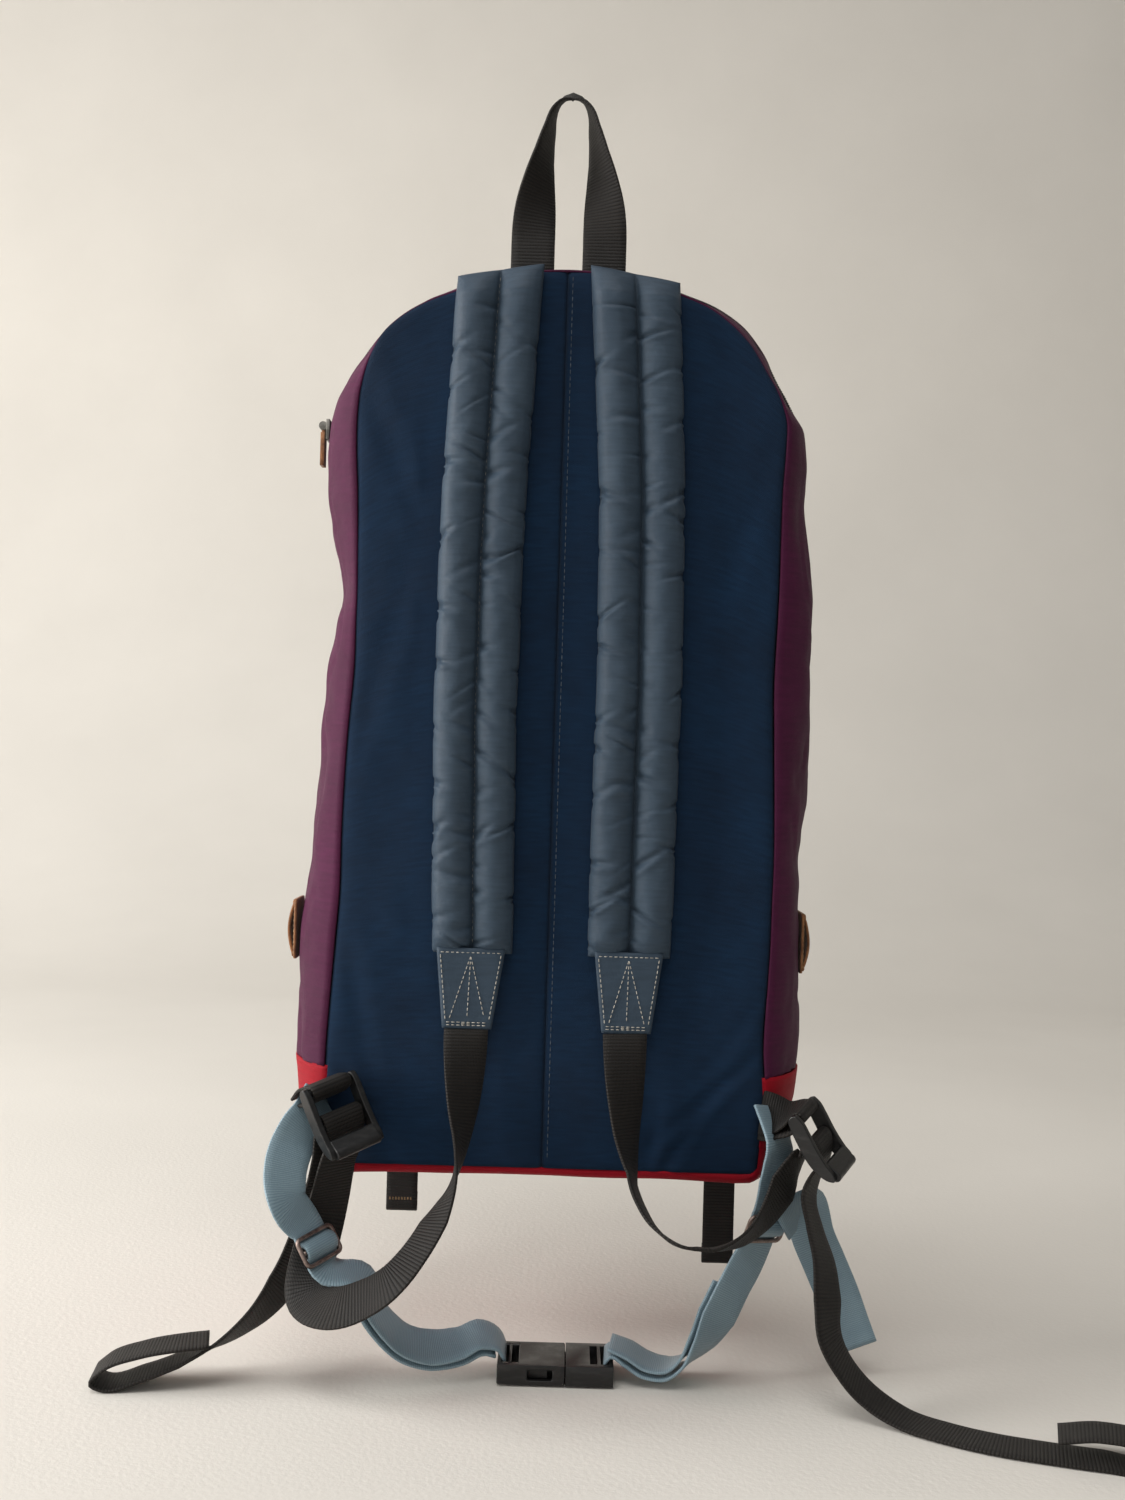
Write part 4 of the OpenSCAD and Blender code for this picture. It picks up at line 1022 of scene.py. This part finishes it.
last = [v for v in bm.verts if v.index >= (len(boot_rows) - 1) * len(boot_rows[0])]
bm.faces.new(last)
bmesh.ops.recalc_face_normals(bm, faces=bm.faces)
bm.to_mesh(boot.data)
bm.free()
for p in boot.data.polygons:
    p.use_smooth = True
settle(solid(boot, CLOTH), "pack", "boot_cloth", "bottom_boot")


# ---------- shoulder straps ----------

def strap_centre(side, s):
    """Centre and half width at s from 0 to 1 down the strap."""
    keys = [0, 0.33, 0.62, 0.92, 1]
    xs = [-38, -44, -45.5, -44, -43.2] if side < 0 else [38.5, 46, 47.5, 46.3, 45.8]
    ws = [24.6, 24.2, 23.8, 23.4, 22.8] if side < 0 else [25.6, 24.6, 24.4, 24.2, 23.6]
    return np.interp(s, keys, xs), np.interp(s, keys, ws)


STRAP_TOP, STRAP_END = -89.5, -483.0


def strap(side, seed):
    name = "left" if side < 0 else "right"
    rng = random.Random(seed)
    marks = []
    for channel in (-1, 1):
        for edge in (0, 1):  # 0 at the centre seam, 1 at the outer edge of the channel
            z = 14.0
            while z < 380:
                z += rng.uniform(9, 30) if edge == 0 else rng.uniform(14, 44)
                height, width = rng.uniform(0.8, 2.9), rng.uniform(0.9, 2.4)
                slope, reach = rng.uniform(-18, 18), rng.uniform(0.2, 0.7)
                marks.append((channel, edge, z, height, width, slope, reach))
    nv, ns = 57, 380
    rows, seam_line = [], []
    total = STRAP_TOP - STRAP_END
    for i in range(ns):
        s = i / (ns - 1)
        d = s * total
        z = STRAP_TOP - d
        cx, hw = strap_centre(side, s)
        rise = min(1.0, d / 16) ** 0.6 * min(1.0, (total - d) / 9 + 0.02) ** 0.5
        thick = (10.6 + 1.2 * math.sin(math.pi * s)) * (0.18 + 0.82 * rise)
        droop = 0.17 * math.exp(-(d / 16) ** 2)
        row = []
        for j in range(nv):
            v = -1 + 2 * j / (nv - 1)
            channel = -1 if v < 0 else 1
            t = abs(v)
            crown = max(0.0, math.sin(math.pi * t)) ** 0.42
            rest = 0.05 if t < 0.5 else 0.16
            base = rest + (0.95 if t < 0.5 else 0.84) * crown
            pinch = 0.0
            for c, e, dz, a, w, slope, reach in marks:
                if c != channel or abs(d - dz) > 30:
                    continue
                far = t if e == 0 else 1 - t
                off = d - dz - slope * far
                fade = math.exp(-((far / reach) ** 2))
                ridge = 0.45 * math.exp(-((off - 2.2 * w) / (1.3 * w)) ** 2)
                pinch += a * fade * (math.exp(-(off / w) ** 2) - ridge)
            lump = 0.9 * rough_noise((v * 16, d, side * 30), 0.045, seed)
            lump += 0.45 * rough_noise((v * 22, d, side * 30), 0.13, seed + 3)
            h = thick * base - (pinch - lump) * min(1.0, crown * 1.4 + 0.15) * (0.3 + 0.7 * rise)
            edge_in = max(0.0, t - 0.82) / 0.18
            x = cx + v * hw - math.copysign(1.2 * edge_in * min(2.0, pinch), v)
            x += 0.5 * rough_noise((0, d, side * 9), 0.02, seed)
            slope = droop * (abs(x) - 14)
            row.append([x, -2.0 - max(0.9, h) * (1 - 0.12 * edge_in), z - slope])
        seam_line.append(list(row[nv // 2]))
        back = [[cx + v * hw * 0.97, -1.3, z - droop * (abs(cx + v * hw) - 14)]
                for v in np.linspace(1, -1, 9)]
        rows.append(row + back)
    rows = np.array(rows)
    obj = grid("strap_padding_" + name, rows, SLATE, ring=True, caps=True)
    weld_now(obj, 1e-7)
    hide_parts("strap_cover_" + name, "strap_lining_" + name, "strap_foam_" + name)
    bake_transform(obj)
    line = np.array(seam_line)[4:-4]
    line[:, 1] -= 0.1
    # The right strap's seam gets the darker slate thread as painted shade, for the shade on that
    # strap; the left strap's seam and both tabs use the pale thread.
    thread = DARK_THREAD if side > 0 else THREAD
    sewn = stitches("strap_seam_" + name, [(line, (0, -1, 0))], thread, 2.4, 1.3, 0.22, 0.4)
    settle(sewn, "shoulder_strap_" + name, "strap_cloth")


strap(-1, 21)
strap(1, 57)


def strap_tab(side):
    name = "left" if side < 0 else "right"
    cx = -43.5 if side < 0 else 46.0
    top, low, tw, lw = -479.5, -525.4, 19.6, 14.0
    nv, nu = 31, 25
    rows = []
    for i in range(nv):
        f = i / (nv - 1)
        z = top + (low - top) * f
        w = tw + (lw - tw) * f
        c = cx + (-1.2 if side < 0 else -0.4) * f
        row = []
        for j in range(nu):
            v = -1 + 2 * j / (nu - 1)
            edge = 0.9 * math.exp(-(1 - abs(v)) * w / 1.6)
            edge += 0.7 * math.exp(-min(f, 1 - f) * 45 / 1.4)
            dent = 0.35 * rough_noise((c + v * w, 0, z), 0.09, 3)
            row.append([c + v * w, -9.3 + edge + dent - 0.4 * math.exp(-f * 6), z])
        rows.append(row)
    obj = grid("strap_tab_cloth_" + name, rows, SLATE, flip=True)
    settle(solid(obj, 0.0022), "shoulder_strap_" + name, "strap_cloth", "strap_tab_" + name)
    y = -9.5

    def along(a, b):
        return np.linspace(a, b, 20)

    c2 = cx + (-1.2 if side < 0 else -0.4)
    lines = [along((cx - tw + 2.2, y, top - 2.6), (cx + tw - 2.2, y, top - 2.6)),
             along((cx - tw + 2.4, y, top - 3.6), (c2 - lw + 1.9, y, low + 3.0)),
             along((cx + tw - 2.4, y, top - 3.6), (c2 + lw - 1.9, y, low + 3.0)),
             along((cx, y, top - 4.4), (c2 - lw + 4.0, y, low + 5.6)),
             along((cx, y, top - 4.4), (c2, y, low + 4.6)),
             along((cx, y, top - 4.4), (c2 + lw - 4.0, y, low + 5.6)),
             along((c2 - lw + 2.0, y, low + 3.8), (c2 + lw - 2.0, y, low + 3.8)),
             along((c2 - lw + 2.0, y, low + 2.2), (c2 + lw - 2.0, y, low + 2.2)),
             along((c2 - 3.4, y - 0.15, low + 3.0), (c2 + 3.4, y - 0.15, low + 3.0))]
    sewn = stitches("strap_tab_stitch_" + name, [(p, (0, -1, 0)) for p in lines],
                    THREAD, 2.0, 0.9, 0.27, 0.0)
    settle(sewn, "shoulder_strap_" + name, "strap_cloth")


strap_tab(-1)
strap_tab(1)

# stitch line beside the back panel's centre seam
seam_line = [[q[0] + 3.0, back_depth(q[0] + 3.0, q[1], i, half) - 0.12, q[1]]
             for i, q in enumerate(BACK[:, half - 1])][2:-2]
seam = stitches("back_seam_stitch", [(seam_line, (0, -1, 0))], DARK_THREAD, 2.6, 1.2, 0.2, 0.3)
settle(seam, "pack", "back_cloth")


# ---------- lash straps, with their turned hems ----------

for side, x, length in (("left", -90, 52), ("right", 114, 80)):
    top = -613.2
    low = top - length
    places = [(112, top), (112.2, top - length / 3), (111.8, top - length * 0.7), (112, low + 3),
              (112.6, low + 0.6), (113.6, low + 1.6), (113.9, low + 6), (113.9, low + 12)]
    route = [([x, y, z], [1, 0, 0]) for y, z in places]
    obj, _ = webbing("lash_webbing_" + side, route, LASH, width=20, step=2)
    settle(obj, "lash_strap_" + side, "black_webbing", "lash_strap_" + side)
    rows = [np.linspace((x - 8.5, 110.95, low + 8 + k), (x + 8.5, 110.95, low + 8 + k), 12)
            for k in (-0.6, 0.0, 0.6)]
    sewn = stitches("lash_stitch_" + side, [(r, (0, -1, 0)) for r in rows],
                    TAN_THREAD, 1.6, 0.3, 0.3, 0.0)
    settle(sewn, "lash_strap_" + side, "black_webbing")


# ---------- leather lash patches ----------

def lash_patch(side):
    name = "left" if side < 0 else "right"
    lo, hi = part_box("lash_patch_" + name)
    y0, y1, z0, z1 = lo.y / MM, hi.y / MM, lo.z / MM, hi.z / MM
    near = min(abs(lo.x), abs(hi.x)) / MM
    cy, cz = (y0 + y1) / 2, (z0 + z1) / 2

    def leather(label, half_y, half_z, lift, thick, n=25):
        rows = []
        for i in range(n):
            f = -1 + 2 * i / (n - 1)
            row = []
            for j in range(n):
                g = -1 + 2 * j / (n - 1)
                a, b = g * half_y, f * half_z
                past = max(0.0, abs(a) - half_y + 3), max(0.0, abs(b) - half_z + 3)
                corner = max(0.0, math.hypot(*past) - 3)
                shrink = 1 - corner / max(half_y, half_z)
                curl = 0.25 * rough_noise((a, b, side * 40), 0.09, 7)
                row.append([side * (near + lift(a, b) + curl), cy + a * shrink, cz + b * shrink])
            rows.append(row)
        obj = grid(label, rows, LEATHER, flip=side < 0)
        return settle(solid(obj, thick, 1), "pack", "leather")

    base = leather("lash_patch_base_" + name, 13.8, 17.8, lambda a, b: 0.35, 0.0014)
    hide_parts("lash_patch_" + name)

    def arch(a, b):
        return 1.9 + 2.6 * max(0.0, math.cos(math.pi * b / 28)) ** 0.8 if abs(b) < 14 else 1.9

    leather("lash_patch_bridge_" + name, 10.0, 17.0, arch, 0.0014)
    x = side * (near + 3.5)
    rows = [np.linspace((x, cy - 8.6, cz + e), (x, cy + 8.6, cz + e), 10) for e in (-15.6, 15.6)]
    edge = side * (near + 1.95)
    rows += [np.linspace((edge, cy + e, cz - 15.5), (edge, cy + e, cz + 15.5), 16)
             for e in (-12.0, 12.0)]
    sewn = stitches("lash_patch_stitch_" + name, [(r, (side, 0, 0)) for r in rows],
                    TAN_THREAD, 2.2, 1.0, 0.3, 0.0)
    settle(sewn, "pack", "leather")


lash_patch(-1)
lash_patch(1)


# ---------- ladder-locks and tri-glides ----------

def prism(bm, f, outline, x0, x1):
    """A straight prism in a fitting's own frame, from x0 to x1 along its width."""
    o, x, y, z = to_frame(f)
    a = [bm.verts.new((o + x * x0 + y * p[0] + z * p[1]) * MM) for p in outline]
    b = [bm.verts.new((o + x * x1 + y * p[0] + z * p[1]) * MM) for p in outline]
    n = len(outline)
    bm.faces.new(a[::-1])
    bm.faces.new(b)
    for i in range(n):
        j = (i + 1) % n
        bm.faces.new((a[i], a[j], b[j], b[i]))


def disc(r, c=(0, 0), n=20):
    angles = [2 * math.pi * i / n for i in range(n)]
    return [(c[0] + r * math.cos(a), c[1] + r * math.sin(a)) for a in angles]


def rounded(outline, step):
    """A closed outline with a smooth curve through its points."""
    points = [(a, b, 0) for a, b in outline + [outline[0]]]
    return [tuple(q) for q in curve(points, step)[:-1, :2]]


RAIL = rounded([(-2.6, 3.0), (0.2, 3.6), (2.8, 2.2), (4.2, -3), (4.8, -11), (5.0, -19), (4.0, -27),
                (1.4, -33.5), (-2.2, -37.4), (-4.6, -38.2), (-5.6, -35.5), (-4.6, -29),
                (-3.9, -19), (-4.2, -8), (-4.0, -1)], 1.6)
LIP = rounded([(-1.2, -28.2), (-0.9, -31), (-1.2, -35), (-2.6, -38.2), (-5.2, -39.4), (-7.4, -38.2),
               (-7.8, -35.8), (-6.4, -33), (-5.2, -30), (-4.4, -28.2)], 1.2)


def ladder_lock(side, f):
    bm = bmesh.new()
    prism(bm, f, RAIL, 13.8, 17.4)
    prism(bm, f, RAIL, -17.4, -13.8)
    prism(bm, f, disc(2.0), -14.4, 14.4)
    prism(bm, f, disc(2.0, (1, -17)), -14.4, 14.4)
    prism(bm, f, LIP, -14.4, 14.4)
    bmesh.ops.recalc_face_normals(bm, faces=bm.faces)
    mesh = bpy.data.meshes.new("ladder_lock_moulding_" + side)
    bm.to_mesh(mesh)
    bm.free()
    obj = bpy.data.objects.new("ladder_lock_moulding_" + side, mesh)
    scene.collection.objects.link(obj)
    mesh.materials.append(PLASTIC)
    soften(obj, 0.0007, 3)
    settle(obj, "ladder_lock_" + side, "black_plastic", "ladder_lock_" + side)


ladder_lock("left", LOCK_L)
ladder_lock("right", LOCK_R)


def tri_glide(side, f):
    o, x, _, z = to_frame(f)
    hw, hh, r = 14.3, 7.8, 3.0
    path = []
    corners = ((hw - r, hh - r, 0), (-hw + r, hh - r, 90), (-hw + r, -hh + r, 180),
               (hw - r, -hh + r, 270))
    for cx, cz, a0 in corners:
        for a in np.linspace(a0, a0 + 90, 7):
            q = math.radians(a)
            path.append(o + x * (cx + r * math.cos(q)) + z * (cz + r * math.sin(q)))
    wire = tube("tri_glide_frame_" + side, path, 1.25, GLIDE, sides=10, ring=True)
    settle(wire, "tri_glide_" + side, "glide_metal", "tri_glide_" + side)
    across = [o + x * t for t in np.linspace(-hw + 0.4, hw - 0.4, 8)]
    bar = tube("tri_glide_bar_" + side, across, 1.15, GLIDE, sides=10)
    settle(bar, "tri_glide_" + side, "glide_metal")


tri_glide("left", GLIDE_L)
tri_glide("right", GLIDE_R)


# ---------- CAD nodes that show ----------

def dress(node, material, width):
    """Gives a CAD node its material and rounds its edges."""
    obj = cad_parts[node]
    if not obj.data.materials:
        obj.data.materials.append(material)
    for s in obj.material_slots:
        s.material = material
    soften(obj, width)


for node, material, width in (
        ("buckle_socket", PLASTIC, 0.0009), ("buckle_plug", PLASTIC, 0.0009),
        ("buckle_prong_near", PLASTIC, 0.0005), ("buckle_prong_far", PLASTIC, 0.0005),
        ("main_zip_slider", STEEL, 0.0003), ("pocket_zip_slider", STEEL, 0.0003),
        ("main_zip_pull", LEATHER, 0.0004), ("pocket_zip_pull", LEATHER, 0.0004)):
    dress(node, material, width)


# ---------- stage and light ----------

def stage_sheet():
    floor_z, wall_y, r = -0.7205, 2.6, 1.3
    prof = [(-14.0, floor_z)] + [(y, floor_z) for y in np.linspace(-9.0, wall_y - r, 12)]
    prof += [(wall_y - r + r * math.sin(a), floor_z + r - r * math.cos(a))
             for a in np.linspace(0, math.pi / 2, 24)[1:]]
    prof += [(wall_y, z) for z in np.linspace(floor_z + r + 0.1, 3.6, 8)]
    rows = [[[x / MM, y / MM, z / MM] for x in np.linspace(-12.0, 12.0, 25)] for y, z in prof]
    m = Mat("stage_paint", Roughness=0.85, Specular_IOR_Level=0.15)
    at = m.place()
    cloudy = m.span(m.noise(at, 3, 4), 0.3, 0.7)
    m.colour(m.mix(cloudy, rgb(219, 215, 208), rgb(224, 220, 213)))
    m.bump(m.noise(at, 300, 3), 0.0002)
    obj = grid("stage_sheet", rows, m.mat)


stage_sheet()


def area(name, place, target, size, power, tone):
    data = bpy.data.lights.new(name, "AREA")
    data.shape = "RECTANGLE"
    data.size, data.size_y = size
    data.energy = power
    data.color = tone
    obj = bpy.data.objects.new(name, data)
    obj.location = place
    obj.visible_camera = False
    obj.rotation_euler = (Vector(target) - Vector(place)).to_track_quat("-Z", "Y").to_euler()
    scene.collection.objects.link(obj)


area("key", (-1.9, -0.42, 0.0), (0.0, 0.0, -0.35), (0.9, 1.5), 42, (1.0, 0.985, 0.96))
area("fill", (-0.6, -2.4, 0.3), (0, 0, -0.4), (1.6, 1.6), 5, (0.97, 0.98, 1.0))
area("top", (-0.4, -0.9, 1.7), (0, 0.1, -0.7), (1.6, 1.2), 24, (1.0, 0.985, 0.96))
area("wall_wash", (-2.6, 0.5, 0.7), (-0.2, 2.6, 0.1), (1.4, 1.8), 46, (1.0, 0.97, 0.93))
world = bpy.data.worlds.new("world")
world.use_nodes = True
background = world.node_tree.nodes["Background"]
background.inputs[0].default_value = (0.95, 0.93, 0.9, 1)
background.inputs[1].default_value = 0.26
scene.world = world
